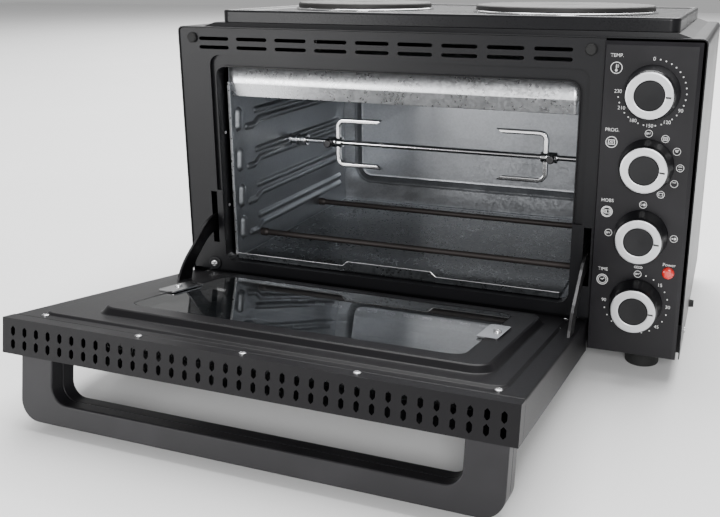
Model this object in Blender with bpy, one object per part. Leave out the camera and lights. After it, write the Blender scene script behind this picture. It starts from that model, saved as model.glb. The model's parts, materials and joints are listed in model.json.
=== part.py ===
"""Table-top rotisserie oven with two hotplates and a drop-down door, as separate pieces.

Lengths are in metres. The oven's own coordinates, which every builder below uses, are:
x from the cabinet's left side to the right, y from the front plane to the back, and
z up from the cabinet's lower edge. origin() turns them into world coordinates, whose
origin is the middle of the footprint on the table. The door stands open on its stays.
"""
import math

import bmesh
import bpy
from mathutils import Matrix, Vector

# ---------------------------------------------------------------- driving dimensions
CABINET_WIDTH = 0.520
CABINET_HEIGHT = 0.289
CABINET_DEPTH = 0.318
SHEET = 0.001                # folded sheet steel, and the wall of every pressed piece
GAP = 0.0004                 # clearance between pieces that rest on each other
WRAP_CORNER = 0.005          # outer bend radius of the wrap

FOOT_HEIGHT = 0.022
FOOT_RADIUS = 0.016
FOOT_INSET_X = 0.036
FOOT_INSET_Y = 0.036

PANEL_WIDTH = 0.0806         # control panel
PANEL_INSET = 0.0035         # from the cabinet's right side
PANEL_STANDS_OUT = 0.0052
PANEL_CHAMFER = 0.0032
PANEL_TOP_INSET = 0.003

FRAME_INSET = 0.0012         # front frame behind the wrap's front edge
FRAME_LOWER_EDGE = 0.029
MOUTH_LEFT = 0.0415          # cavity mouth, from the cabinet's left side
MOUTH_TO_PANEL = 0.0209
MOUTH_BOTTOM = 0.040
MOUTH_TOP = 0.249
MOUTH_RADIUS = 0.010
COLLAR_BACK = 0.0160         # where the folded wall around the mouth ends
EMBOSS_LEFT_MARGIN = 0.0072  # recessed band over and beside the mouth
EMBOSS_RIGHT_MARGIN = 0.0097
EMBOSS_TOP_MARGIN = 0.0127
EMBOSS_BOTTOM = 0.1175
EMBOSS_RADIUS = 0.011
EMBOSS_DEPTH = 0.004
VENT_COLUMNS = 9
VENT_LENGTH = 0.035
VENT_HEIGHT = 0.0036
VENT_PITCH = 0.0436
VENT_FIRST_X = 0.0412
VENT_DROPS = (0.0119, 0.0206)  # of the two rows, below the cabinet's top

CAVITY_FRONT = 0.0165
CAVITY_TO_REAR = 0.014         # cavity back wall, from the cabinet's rear
CAVITY_LEFT_INSET = 0.0055   # cavity walls stand this far inside the mouth
CAVITY_RIGHT_INSET = 0.0012
CAVITY_OVER_MOUTH = 0.0018
RUNNER_HEIGHTS = (0.070, 0.106, 0.146, 0.190)
RUNNER_HALF = 0.0035
RUNNER_RISE = 0.004
RUNNER_START = 0.030
RUNNER_TO_BACK = 0.018         # runners end this far from the cavity's back

ROD_RADIUS = 0.0033
ROD_TERMINAL_RADIUS = 0.0055
ROD_TERMINAL_LENGTH = 0.007
ROD_FRONT_Y = 0.071
ROD_REAR_FROM_BACK = 0.082
LOWER_ROD_Z = 0.0545
UPPER_ROD_Z = 0.236
REFLECTOR_DROP = 0.0196      # upright part, then a slanted lip and a flat return
REFLECTOR_LIP = 0.0140
REFLECTOR_SLANT = 0.005
REFLECTOR_DEPTH = 0.044

TRAY_LIP_Z = 0.0475
TRAY_TAB_Z = 0.0525
TRAY_TAB_HALF = 0.045
TRAY_FRONT = 0.0098

DOOR_THICKNESS = 0.0298
DOOR_HINGE_Y = -0.0105       # hinge axis, in front of the front plane
DOOR_HINGE_Z = 0.0189
DOOR_INNER_FACE = 0.008      # closed door's inner face, behind the hinge axis
DOOR_BELOW_AXIS = 0.018
DOOR_ABOVE_AXIS = 0.267
DOOR_OPEN_ANGLE = math.radians(80.59)
DOOR_LEFT_INSET = 0.0018
DOOR_PANEL_GAP = 0.0014

STRIP_DEPTH = 0.013          # perforated cap along the door's free edge
STRIP_COLUMNS = 36
STRIP_END_MARGIN = 0.0108
STRIP_SLOT_LENGTH = 0.0088
STRIP_SLOT_WIDTH = 0.0041
STRIP_ROW_DROPS = (0.0104, 0.0213)

STEP_RISE = 0.0020           # shallow step in the door's inner panel
STEP_FROM_EDGE = 0.0245
STEP_SIDE_MARGIN = 0.0173
BEZEL_RISE = 0.008           # raised surround of the inner glass
BEZEL_SLOPE = 0.004
BEZEL_FROM_EDGE = 0.0435
BEZEL_LENGTH = 0.2035
BEZEL_LEFT_IN_MOUTH = 0.0147
BEZEL_RIGHT_IN_MOUTH = 0.0140
GLASS_MARGIN_EDGE = 0.0205   # from the bezel's top edge to the inner glass
GLASS_MARGIN_HINGE = 0.0140
GLASS_MARGIN_LEFT = 0.0133
GLASS_MARGIN_RIGHT = 0.0235
GLASS_THICKNESS = 0.004
GLASS_LEDGE = 0.005
GLASS_RADIUS = 0.012

CLIP_WIDTH = 0.018
CLIP_LENGTH = 0.048
CLIP_OVERLAP = 0.006
CLIP_FROM_EDGE = 0.149

HEEL_VENT_COUNT = 19         # square air holes along the door's hinge edge
HEEL_VENT_FIRST = 0.0288
HEEL_VENT_PITCH = 0.0202
HEEL_VENT_WIDTH = 0.0116
HEEL_VENT_HEIGHT = 0.0110
HEEL_VENT_DROP = 0.0173

WINDOW_WIDTH = 0.330         # opening in the door's outer face
WINDOW_FROM_EDGE = 0.062
WINDOW_LENGTH = 0.165
WINDOW_RADIUS = 0.014
OUTER_GLASS_LAP = 0.010

STAY_LEFT_OF_MOUTH = 0.0105  # stay plates, beside the mouth on each side
STAY_RIGHT_OF_MOUTH = 0.0147
STAY_THICKNESS = 0.0025
STAY_HEEL = (0.0438, 0.0675)   # inner and outer radius about the hinge line, at the door
STAY_WAIST = (0.0455, 0.0600)
STAY_TAIL = (0.0560, 0.0750)
STAY_WAIST_SHARE = 0.5
STAY_FROM_ANGLE = math.radians(88.0)   # closed door, from straight ahead over the top
STAY_TO_ANGLE = math.radians(188.0)
STAY_SLOT_WIDTH = 0.007
STAY_SLOT_Z = (0.0598, 0.1165)
STAY_CLEARANCE = 0.0008

HINGE_FROM_EDGE = 0.0125     # hinge arms, from each end of the door
HINGE_ARM_WIDTH = 0.004
HINGE_EYE_RADIUS = 0.0045
HINGE_PIN_RADIUS = 0.002
HINGE_PIN_LENGTH = 0.014
HINGE_CLEARANCE = 0.0014
KICK_Y = 0.0135              # recessed plate below the mouth

HANDLE_SIDE_INSET = 0.0178   # from the door's left end
HANDLE_RIGHT_INSET = 0.0062
HANDLE_LEG = 0.031
HANDLE_BAR = 0.0185
HANDLE_DROP = 0.0542         # below the door's outer face
HANDLE_DEPTH = 0.026
HANDLE_FROM_EDGE = 0.002
HANDLE_OUTER_RADIUS = 0.018
HANDLE_INNER_RADIUS = 0.014

KNOB_X_FROM_SIDE = 0.0423
KNOB_HEIGHTS = {"temperature": 0.2434, "program": 0.1797, "hob": 0.1160, "timer": 0.0512}
KNOB_SKIRT_RADIUS = 0.0238
KNOB_FACE_RADIUS = 0.0196
KNOB_FACE_HOLLOW = 0.0126
KNOB_FACE_Y = -0.0279
SHAFT_RADIUS = 0.003
SHAFT_END_Y = 0.012
SHAFT_CLEARANCE = 0.001
LAMP_FROM_SIDE = 0.0161
LAMP_Z = 0.0838
LAMP_RADIUS = 0.0055

SPIT_Y = 0.140
SPIT_Z = 0.1515
SPIT_RADIUS = 0.003
SPIT_PIN_RADIUS = 0.0018
SOCKET_RADIUS = 0.0068
SOCKET_LENGTH = 0.023
BEARING_RADIUS = 0.007
BEARING_LENGTH = 0.006
FORK_HALF = 0.0285
FORK_TINE = 0.058
FORK_STRIP = 0.0052
FORK_WIDTH = 0.0066
FORK_SLANT = 0.0075           # the tines' slanted ends: outer edge longer by this
FORK_LEFT_X = 0.112
FORK_RIGHT_X = 0.3625
FORK_BEND = 0.0105
HUB_RADIUS = 0.0058
HUB_LENGTH = 0.010
SPIT_CLEARANCE = 0.0006
THUMB_RADIUS = 0.0045
THUMB_LENGTH = 0.010

DECK_RISE = 0.0042           # raised deck pressed into the wrap's top
DECK_SIDE_INSET = 0.026
DECK_RIGHT_INSET = 0.012
DECK_SLOPE = 0.014
DECK_FRONT = 0.006
HOB_LEFT = 0.0465
HOB_RIGHT_INSET = 0.0245
HOB_FRONT = 0.009
HOB_BACK_INSET = 0.022
HOB_HEIGHT = 0.0118
HOB_CORNER = 0.009
HOB_RIM = 0.004
HOB_RECESS = 0.0025
PLATE_BEHIND_MIDDLE = 0.0091   # plate centres, behind the middle of the tray
PLATES = {"left": (0.1412, 0.075), "right": (0.3680, 0.0925)}
PLATE_ABOVE_TRAY = 0.0053
PLATE_EDGE = 0.0022
PLATE_BOSS_SHRINK = 0.012
PLATE_BOSS_DEPTH = 0.0040
RING_WIDTH = 0.0024
RING_HEIGHT = 0.0018

BUFFER_RADIUS = 0.0052
BUFFER_Z = 0.2777
BUFFER_LEFT_X = 0.0166
BUFFER_RIGHT_FROM_PANEL = 0.0126
SPACER_RADIUS = 0.0042
SPACER_LENGTH = 0.005
SPACER_Y = 0.128
SPACER_Z = 0.010
GLAND_RADIUS = 0.008
GLAND_LENGTH = 0.009

ROUND_STEPS = 24
FINE_STEPS = 56

# ---------------------------------------------------------------- worked-out places
PANEL_RIGHT = CABINET_WIDTH - PANEL_INSET
PANEL_LEFT = PANEL_RIGHT - PANEL_WIDTH
PANEL_BACK = FRAME_INSET + SHEET
MOUTH_RIGHT = PANEL_LEFT - MOUTH_TO_PANEL
MOUTH_MIDDLE = (MOUTH_LEFT + MOUTH_RIGHT) / 2
CAVITY_BACK = CABINET_DEPTH - CAVITY_TO_REAR
RUNNER_END = CAVITY_BACK - RUNNER_TO_BACK
ROD_DEPTHS = (ROD_FRONT_Y, CAVITY_BACK - ROD_REAR_FROM_BACK)
CAVITY_LEFT = MOUTH_LEFT + CAVITY_LEFT_INSET
CAVITY_RIGHT = MOUTH_RIGHT - CAVITY_RIGHT_INSET
CAVITY_FLOOR = MOUTH_BOTTOM + GAP
CAVITY_CEILING = MOUTH_TOP + CAVITY_OVER_MOUTH
DOOR_LEFT = DOOR_LEFT_INSET
DOOR_RIGHT = PANEL_LEFT - DOOR_PANEL_GAP
DOOR_OUTER_FACE = DOOR_INNER_FACE - DOOR_THICKNESS
STAY_LEFT_X = MOUTH_LEFT - STAY_LEFT_OF_MOUTH
STAY_RIGHT_X = MOUTH_RIGHT + STAY_RIGHT_OF_MOUTH
HINGE_LEFT_X = DOOR_LEFT + HINGE_FROM_EDGE
HINGE_RIGHT_X = DOOR_RIGHT - HINGE_FROM_EDGE
KNOB_X = CABINET_WIDTH - KNOB_X_FROM_SIDE
HOB_RIGHT = CABINET_WIDTH - HOB_RIGHT_INSET
HOB_BACK = CABINET_DEPTH - HOB_BACK_INSET
PLATE_Y = (HOB_FRONT + HOB_BACK) / 2 + PLATE_BEHIND_MIDDLE
HOB_BOTTOM = CABINET_HEIGHT + DECK_RISE + GAP
HOB_TOP = HOB_BOTTOM + HOB_HEIGHT
HOB_SURFACE = HOB_TOP - HOB_RECESS
BEZEL_LEFT = MOUTH_LEFT + BEZEL_LEFT_IN_MOUTH
BEZEL_RIGHT = MOUTH_RIGHT - BEZEL_RIGHT_IN_MOUTH
BEZEL_HIGH = DOOR_ABOVE_AXIS - BEZEL_FROM_EDGE
BEZEL_LOW = BEZEL_HIGH - BEZEL_LENGTH
BEZEL_TOP = DOOR_INNER_FACE + BEZEL_RISE
GLASS_LEFT = BEZEL_LEFT + BEZEL_SLOPE + GLASS_MARGIN_LEFT
GLASS_RIGHT = BEZEL_RIGHT - BEZEL_SLOPE - GLASS_MARGIN_RIGHT
GLASS_LOW = BEZEL_LOW + BEZEL_SLOPE + GLASS_MARGIN_HINGE
GLASS_HIGH = BEZEL_HIGH - BEZEL_SLOPE - GLASS_MARGIN_EDGE
GLASS_FACE = BEZEL_TOP - GAP
DOOR_REACH = (
    math.sin(DOOR_OPEN_ANGLE) * (DOOR_ABOVE_AXIS - HANDLE_FROM_EDGE)
    - DOOR_HINGE_Y
    + math.cos(DOOR_OPEN_ANGLE) * (HANDLE_DROP - DOOR_OUTER_FACE)
)
REAR_REACH = CABINET_DEPTH + GLAND_LENGTH
ORIGIN = Vector((CABINET_WIDTH / 2, (REAR_REACH - DOOR_REACH) / 2, -FOOT_HEIGHT))

# ---------------------------------------------------------------- materials
FINISHES = {
    "black_enamel": ((0.018, 0.018, 0.020), 0.38, 0.0),
    "black_steel": ((0.030, 0.030, 0.032), 0.42, 0.3),
    "black_plastic": ((0.020, 0.020, 0.022), 0.34, 0.0),
    "aluminised_steel": ((0.62, 0.63, 0.65), 0.36, 0.9),
    "bright_steel": ((0.75, 0.75, 0.76), 0.2, 1.0),
    "cast_iron": ((0.025, 0.024, 0.024), 0.62, 0.4),
    "heater": ((0.06, 0.045, 0.04), 0.55, 0.4),
    "dark_glass": ((0.02, 0.02, 0.022), 0.05, 0.0),
    "black_rubber": ((0.015, 0.015, 0.015), 0.7, 0.0),
    "red_lens": ((0.75, 0.02, 0.01), 0.15, 0.0),
    "grey_plastic": ((0.30, 0.30, 0.31), 0.5, 0.0),
}


def clear_scene():
    for item in list(bpy.data.objects):
        bpy.data.objects.remove(item, do_unlink=True)


def finish(name):
    """The Principled material called name, made once."""
    material = bpy.data.materials.get(name)
    if material is None:
        colour, roughness, metallic = FINISHES[name]
        material = bpy.data.materials.new(name)
        material.use_nodes = True
        shader = material.node_tree.nodes["Principled BSDF"]
        shader.inputs["Base Color"].default_value = (*colour, 1.0)
        shader.inputs["Roughness"].default_value = roughness
        shader.inputs["Metallic"].default_value = metallic
    return material


# ---------------------------------------------------------------- shapes
def loft(mesh, sections):
    """Add a closed solid through equal-length rings of points."""
    rings = []
    for section in sections:
        rings.append([mesh.verts.new(point) for point in section])
    count = len(rings[0])
    for low, high in zip(rings, rings[1:]):
        for i in range(count):
            j = (i + 1) % count
            mesh.faces.new((low[i], low[j], high[j], high[i]))
    mesh.faces.new(rings[0][::-1])
    mesh.faces.new(rings[-1])


def at_axis(outline, axis, level):
    """Place 2-D outline points at one level along an axis."""
    if axis == "x":
        return [(level, a, b) for a, b in outline]
    if axis == "y":
        return [(a, level, b) for a, b in outline]
    return [(a, b, level) for a, b in outline]


def add_prism(mesh, outline, axis, low, high):
    """Add an outline extruded from low to high along x, y or z."""
    loft(mesh, [at_axis(outline, axis, low), at_axis(outline, axis, high)])


def add_box(mesh, low, high):
    outline = rectangle(low[0], high[0], low[1], high[1])
    add_prism(mesh, outline, "z", low[2], high[2])


def rectangle(a0, a1, b0, b1):
    return [(a0, b0), (a1, b0), (a1, b1), (a0, b1)]


def arc(centre, radius, start, end, steps):
    """Points on an arc, both ends included; angles in radians."""
    points = []
    for i in range(steps + 1):
        angle = start + (end - start) * i / steps
        points.append((centre[0] + radius * math.cos(angle), centre[1] + radius * math.sin(angle)))
    return points


def rounded_rectangle(a0, a1, b0, b1, radius, steps=4):
    quarter = math.pi / 2
    corners = ((a1 - radius, b0 + radius, -quarter), (a1 - radius, b1 - radius, 0.0),
               (a0 + radius, b1 - radius, quarter), (a0 + radius, b0 + radius, 2 * quarter))
    points = []
    for a, b, start in corners:
        points += arc((a, b), radius, start, start + quarter, steps)
    return points


def obround(a, b, length, width, upright, steps=4):
    """A slot outline: two half circles joined, centred on (a, b)."""
    radius = width / 2
    reach = length / 2 - radius
    quarter = math.pi / 2
    if upright:
        return (arc((a, b + reach), radius, 0, 2 * quarter, steps)
                + arc((a, b - reach), radius, 2 * quarter, 4 * quarter, steps))
    return (arc((a + reach, b), radius, -quarter, quarter, steps)
            + arc((a - reach, b), radius, quarter, 3 * quarter, steps))


def circle(a, b, radius, steps=ROUND_STEPS):
    return arc((a, b), radius, 0, 2 * math.pi, steps)[:-1]


def add_turned(mesh, profile, axis, centre, steps=ROUND_STEPS):
    """Add a solid turned about an axis: profile is (radius, level) from end to end."""
    sections = []
    for radius, level in profile:
        sections.append(at_axis(circle(centre[0], centre[1], radius, steps), axis, level))
    loft(mesh, sections)


# ---------------------------------------------------------------- objects
class Door:
    """The door's own axes: an empty on the hinge line, turned to the open angle."""
    empty = None


def add_object(name, build, material, parent=None, smooth=False, pivot=(0, 0, 0)):
    """Make one object; build adds its solids to an empty bmesh.

    build works in oven coordinates, or in door coordinates when parent is the door.
    pivot is where the object's own origin lies, in the same coordinates.
    """
    mesh = bmesh.new()
    build(mesh)
    bmesh.ops.recalc_face_normals(mesh, faces=mesh.faces)
    bmesh.ops.translate(mesh, verts=mesh.verts, vec=-Vector(pivot))
    data = bpy.data.meshes.new(name)
    mesh.to_mesh(data)
    mesh.free()
    item = bpy.data.objects.new(name, data)
    bpy.context.collection.objects.link(item)
    data.materials.append(finish(material))
    item.location = Vector(pivot) if parent else Vector(pivot) - ORIGIN
    item.parent = parent
    if smooth:
        data.shade_smooth()
        data.set_sharp_from_angle(angle=math.radians(35))
    return item


def combine(item, build, operation, label):
    """Cut from, or join to, an object the solids that build makes."""
    cutter = add_object(item.name + "_" + label, build, "grey_plastic", item.parent)
    cutter.hide_render = True
    cutter.hide_viewport = True
    cutter.display_type = "WIRE"
    change = item.modifiers.new(label, "BOOLEAN")
    change.operation = operation
    change.solver = "EXACT"
    change.object = cutter


def cut(item, build, label="cut"):
    combine(item, build, "DIFFERENCE", label)


def join(item, build, label="join"):
    combine(item, build, "UNION", label)


def make_door_axes():
    empty = bpy.data.objects.new("door_axis", None)
    bpy.context.collection.objects.link(empty)
    empty.location = Vector((0, DOOR_HINGE_Y, DOOR_HINGE_Z)) - ORIGIN
    empty.rotation_euler = (DOOR_OPEN_ANGLE, 0, 0)
    Door.empty = empty


# ---------------------------------------------------------------- cabinet
def outer_wrap():
    """One sheet over the left side, the top and the right side."""
    def arch(inset, radius):
        left, right = inset, CABINET_WIDTH - inset
        top = CABINET_HEIGHT - inset
        return (arc((left + radius, top - radius), radius, math.pi, math.pi / 2, 4)
                + arc((right - radius, top - radius), radius, math.pi / 2, 0, 4))

    def shell(mesh):
        outer = [(0, 0)] + arch(0, WRAP_CORNER) + [(CABINET_WIDTH, 0)]
        inner = [(SHEET, 0)] + arch(SHEET, WRAP_CORNER - SHEET) + [(CABINET_WIDTH - SHEET, 0)]
        add_prism(mesh, outer + inner[::-1], "y", 0, CABINET_DEPTH)

    def deck(mesh):
        left, right = DECK_SIDE_INSET, CABINET_WIDTH - DECK_RIGHT_INSET
        back = CABINET_DEPTH - DECK_FRONT
        low = rectangle(left, right, DECK_FRONT, back)
        high = rectangle(left + DECK_SLOPE, right - DECK_SLOPE, DECK_FRONT + SHEET, back - SHEET)
        loft(mesh, [at_axis(low, "z", CABINET_HEIGHT - SHEET / 2),
                    at_axis(high, "z", CABINET_HEIGHT + DECK_RISE)])

    def deck_hollow(mesh):
        left, right = DECK_SIDE_INSET, CABINET_WIDTH - DECK_RIGHT_INSET
        front, back = DECK_FRONT + SHEET, CABINET_DEPTH - DECK_FRONT - SHEET
        low = rectangle(left, right, front, back)
        high = rectangle(left + DECK_SLOPE, right - DECK_SLOPE, front + SHEET, back - SHEET)
        loft(mesh, [at_axis(low, "z", CABINET_HEIGHT - 1.5 * SHEET),
                    at_axis(high, "z", CABINET_HEIGHT + DECK_RISE - SHEET)])

    wrap = add_object("outer_wrap", shell, "black_enamel")
    join(wrap, deck, "deck")
    cut(wrap, deck_hollow, "deck_hollow")


def base_plate():
    """Bottom sheet, folded up at the front behind the door's hinge end."""
    def folded(mesh):
        fold = FRAME_LOWER_EDGE - GAP
        outline = [(KICK_Y, SHEET), (KICK_Y + SHEET, SHEET), (CABINET_DEPTH - 2 * SHEET, SHEET),
                   (CABINET_DEPTH - 2 * SHEET, 2 * SHEET), (KICK_Y + SHEET, 2 * SHEET),
                   (KICK_Y + SHEET, fold), (KICK_Y, fold)]
        add_prism(mesh, outline, "x", SHEET + GAP, CABINET_WIDTH - SHEET - GAP)

    add_object("base_plate", folded, "aluminised_steel")


def rear_cover():
    low, high = SHEET + GAP, CABINET_WIDTH - SHEET - GAP
    back = CABINET_DEPTH - SHEET

    def plate(mesh):
        outline = rounded_rectangle(low, high, SHEET, CABINET_HEIGHT - SHEET - GAP, WRAP_CORNER)
        add_prism(mesh, outline, "y", back, CABINET_DEPTH)

    def openings(mesh):
        for row in range(3):
            for column in range(6):
                x = CABINET_WIDTH * 0.28 + column * (VENT_LENGTH + 0.008)
                z = CABINET_HEIGHT * 0.72 + row * (VENT_HEIGHT + 0.006)
                add_prism(mesh, obround(x, z, VENT_LENGTH, VENT_HEIGHT, False, 3), "y",
                          back - SHEET, CABINET_DEPTH + SHEET)
        add_prism(mesh, circle(*gland_place(), GLAND_RADIUS * 0.6 + GAP, 16), "y",
                  back - SHEET, CABINET_DEPTH + SHEET)

    cover = add_object("rear_cover", plate, "black_enamel")
    cut(cover, openings, "openings")


def gland_place():
    return (CABINET_WIDTH - 0.045, 0.030)


def cord_gland():
    """Bush in the rear cover that the supply lead would leave through."""
    def bush(mesh):
        back = CABINET_DEPTH
        neck = GLAND_RADIUS * 0.6
        profile = [(neck, back - 0.008), (neck, back + GAP), (GLAND_RADIUS, back + GAP),
                   (GLAND_RADIUS * 0.7, back + GLAND_LENGTH)]
        add_turned(mesh, profile, "y", gland_place(), 16)

    gland = add_object("cord_gland", bush, "black_rubber", smooth=True)
    cut(gland, lambda mesh: add_prism(mesh, circle(*gland_place(), GLAND_RADIUS * 0.42, 12), "y",
                                      CABINET_DEPTH - 0.02, CABINET_DEPTH + 0.02), "bore")


def mouth_outline(grow):
    return rounded_rectangle(MOUTH_LEFT - grow, MOUTH_RIGHT + grow, MOUTH_BOTTOM - grow,
                             MOUTH_TOP + grow, MOUTH_RADIUS + grow)


def front_frame():
    """Pressed sheet around the mouth: vents, a recessed band, a folded collar, stay slots."""
    face = FRAME_INSET
    back = face + SHEET
    floor = face + EMBOSS_DEPTH
    lower = FRAME_LOWER_EDGE
    left, right = SHEET + GAP, PANEL_LEFT - GAP

    def plate(mesh):
        outline = rectangle(left, right, lower, CABINET_HEIGHT - SHEET - GAP)
        corner = arc((left + WRAP_CORNER, CABINET_HEIGHT - SHEET - GAP - WRAP_CORNER),
                     WRAP_CORNER, math.pi / 2, math.pi, 4)
        add_prism(mesh, outline[:3] + corner, "y", face, back)

    def band(mesh):
        add_prism(mesh, emboss_outline(0), "y", face + SHEET / 2, floor + SHEET)

    def band_hollow(mesh):
        add_prism(mesh, emboss_outline(SHEET), "y", face - SHEET, floor)

    def collar(mesh):
        add_prism(mesh, mouth_outline(SHEET), "y", face + SHEET / 2, COLLAR_BACK)

    def mouth(mesh):
        add_prism(mesh, mouth_outline(0), "y", face - SHEET, COLLAR_BACK + SHEET)

    def slots(mesh):
        for row in VENT_DROPS:
            for column in range(VENT_COLUMNS):
                outline = obround(VENT_FIRST_X + column * VENT_PITCH, CABINET_HEIGHT - row,
                                  VENT_LENGTH, VENT_HEIGHT, False, 3)
                add_prism(mesh, outline, "y", face - SHEET, back + SHEET)
        for x in (STAY_LEFT_X, STAY_RIGHT_X):
            half = STAY_SLOT_WIDTH / 2
            outline = rectangle(x - half, min(x + half, right - SHEET), *STAY_SLOT_Z)
            add_prism(mesh, outline, "y", face - SHEET, back + SHEET)

    frame = add_object("front_frame", plate, "black_enamel")
    join(frame, band, "band")
    cut(frame, band_hollow, "band_hollow")
    join(frame, collar, "collar")
    cut(frame, mouth, "mouth")
    cut(frame, slots, "slots")


def emboss_outline(shrink):
    """Outline of the recessed band, rounded above and square where it ends at the stay slots."""
    left, right = MOUTH_LEFT - EMBOSS_LEFT_MARGIN + shrink, MOUTH_RIGHT + EMBOSS_RIGHT_MARGIN - shrink
    low, high = EMBOSS_BOTTOM + shrink, MOUTH_TOP + EMBOSS_TOP_MARGIN - shrink
    radius = EMBOSS_RADIUS - shrink
    return ([(left, low), (right, low)] + arc((right - radius, high - radius), radius, 0, math.pi / 2, 5)
            + arc((left + radius, high - radius), radius, math.pi / 2, math.pi, 5))


def feet():
    inset_x, inset_y = FOOT_INSET_X, FOOT_INSET_Y
    places = {"front_left": (inset_x, inset_y), "front_right": (CABINET_WIDTH - inset_x, inset_y),
              "rear_left": (inset_x, CABINET_DEPTH - inset_y),
              "rear_right": (CABINET_WIDTH - inset_x, CABINET_DEPTH - inset_y)}
    for name, place in places.items():
        profile = [(FOOT_RADIUS * 0.86, -FOOT_HEIGHT), (FOOT_RADIUS * 0.94, -FOOT_HEIGHT + 0.002),
                   (FOOT_RADIUS, SHEET - GAP)]
        add_object("foot_" + name, lambda mesh: add_turned(mesh, profile, "z", place),
                   "black_rubber", smooth=True)


def door_buffers():
    places = {"left": BUFFER_LEFT_X, "right": PANEL_LEFT - BUFFER_RIGHT_FROM_PANEL}
    closed_face = DOOR_HINGE_Y + DOOR_INNER_FACE
    for name, x in places.items():
        profile = [(BUFFER_RADIUS, FRAME_INSET - GAP), (BUFFER_RADIUS, closed_face + 0.0014),
                   (BUFFER_RADIUS * 0.8, closed_face + GAP)]
        add_object("door_buffer_" + name, lambda mesh: add_turned(mesh, profile, "y", (x, BUFFER_Z), 16),
                   "black_rubber", smooth=True)


def side_spacers():
    """Stubs low on each side that keep a wall away."""
    sides = {"left": (-GAP, -SPACER_LENGTH), "right": (CABINET_WIDTH + GAP, CABINET_WIDTH + SPACER_LENGTH)}
    for name, (root, tip) in sides.items():
        profile = [(SPACER_RADIUS, root), (SPACER_RADIUS * 0.85, tip)]
        add_object("side_spacer_" + name, lambda mesh: add_turned(mesh, profile, "x", (SPACER_Y, SPACER_Z), 16),
                   "black_rubber", smooth=True)


# ---------------------------------------------------------------- cavity
def cavity_side(name, wall, inward, flange_width):
    """Side wall with four pressed runners; wall is its inner face, inward its direction."""
    def plate(mesh):
        edges = sorted((wall, wall - inward * SHEET))
        add_box(mesh, (edges[0], CAVITY_FRONT, CAVITY_FLOOR - SHEET),
                (edges[1], CAVITY_BACK, CAVITY_CEILING + SHEET))

    def runners(mesh):
        for z in RUNNER_HEIGHTS:
            foot = rectangle(RUNNER_START, RUNNER_END, z - RUNNER_HALF, z + RUNNER_HALF)
            crest = rectangle(RUNNER_START + RUNNER_RISE, RUNNER_END - RUNNER_RISE,
                              z - RUNNER_HALF * 0.4, z + RUNNER_HALF * 0.4)
            loft(mesh, [at_axis(foot, "x", wall - inward * SHEET / 2),
                        at_axis(crest, "x", wall + inward * RUNNER_RISE)])

    def holes(mesh):
        low, high = sorted((wall - inward * 3 * SHEET, wall + inward * (RUNNER_RISE + 2 * SHEET)))
        radius = SPIT_RADIUS + 2 * SPIT_CLEARANCE
        add_prism(mesh, circle(SPIT_Y, SPIT_Z, radius, 16), "x", low, high)

    def flange(mesh):
        edges = sorted((wall, wall - inward * flange_width))
        add_box(mesh, (edges[0], CAVITY_FRONT, CAVITY_FLOOR - SHEET),
                (edges[1], CAVITY_FRONT + SHEET, CAVITY_CEILING + SHEET))

    side = add_object(name, plate, "aluminised_steel")
    if flange_width > 2 * SHEET:
        join(side, flange, "flange")
    join(side, runners, "runners")
    cut(side, holes, "holes")


def cavity_shell():
    cavity_side("cavity_left", CAVITY_LEFT, 1, CAVITY_LEFT_INSET - GAP)
    cavity_side("cavity_right", CAVITY_RIGHT, -1, CAVITY_RIGHT_INSET - GAP)
    inside_left, inside_right = CAVITY_LEFT + GAP, CAVITY_RIGHT - GAP
    front, back = CAVITY_FRONT, CAVITY_BACK - SHEET - GAP

    def top(mesh):
        add_box(mesh, (inside_left, front, CAVITY_CEILING), (inside_right, back, CAVITY_CEILING + SHEET))

    def floor(mesh):
        add_box(mesh, (inside_left, front, CAVITY_FLOOR - SHEET), (inside_right, back, CAVITY_FLOOR))

    def rear(mesh):
        add_box(mesh, (inside_left, CAVITY_BACK - SHEET, CAVITY_FLOOR - SHEET),
                (inside_right, CAVITY_BACK, CAVITY_CEILING + SHEET))

    add_object("cavity_top", top, "aluminised_steel")
    add_object("cavity_floor", floor, "aluminised_steel")
    add_object("cavity_back", rear, "aluminised_steel")


def top_reflector():
    """Bent sheet that hangs in front of the upper heating rods."""
    def sheet(mesh):
        front = CAVITY_FRONT
        top = CAVITY_CEILING - GAP
        bend = (front, top - REFLECTOR_DROP)
        lip = (front + REFLECTOR_SLANT, top - REFLECTOR_DROP - REFLECTOR_LIP)
        back = front + REFLECTOR_DEPTH
        outline = [(front, top), bend, lip, (back, lip[1]), (back, lip[1] + SHEET),
                   (lip[0] + SHEET, lip[1] + SHEET), (bend[0] + SHEET, bend[1]), (front + SHEET, top)]
        add_prism(mesh, outline, "x", CAVITY_LEFT + GAP, CAVITY_RIGHT - GAP)

    add_object("top_reflector", sheet, "aluminised_steel")


def heating_rods():
    for level, z in (("lower", LOWER_ROD_Z), ("upper", UPPER_ROD_Z)):
        for row, y in zip(("front", "rear"), ROD_DEPTHS):
            left, right = CAVITY_LEFT + GAP, CAVITY_RIGHT - GAP
            reach = ROD_TERMINAL_LENGTH
            profile = [(ROD_TERMINAL_RADIUS, left), (ROD_TERMINAL_RADIUS, left + reach),
                       (ROD_RADIUS, left + reach), (ROD_RADIUS, right - reach),
                       (ROD_TERMINAL_RADIUS, right - reach), (ROD_TERMINAL_RADIUS, right)]
            add_object("heating_rod_" + level + "_" + row,
                       lambda mesh: add_turned(mesh, profile, "x", (y, z), 12), "heater", smooth=True)


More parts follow.
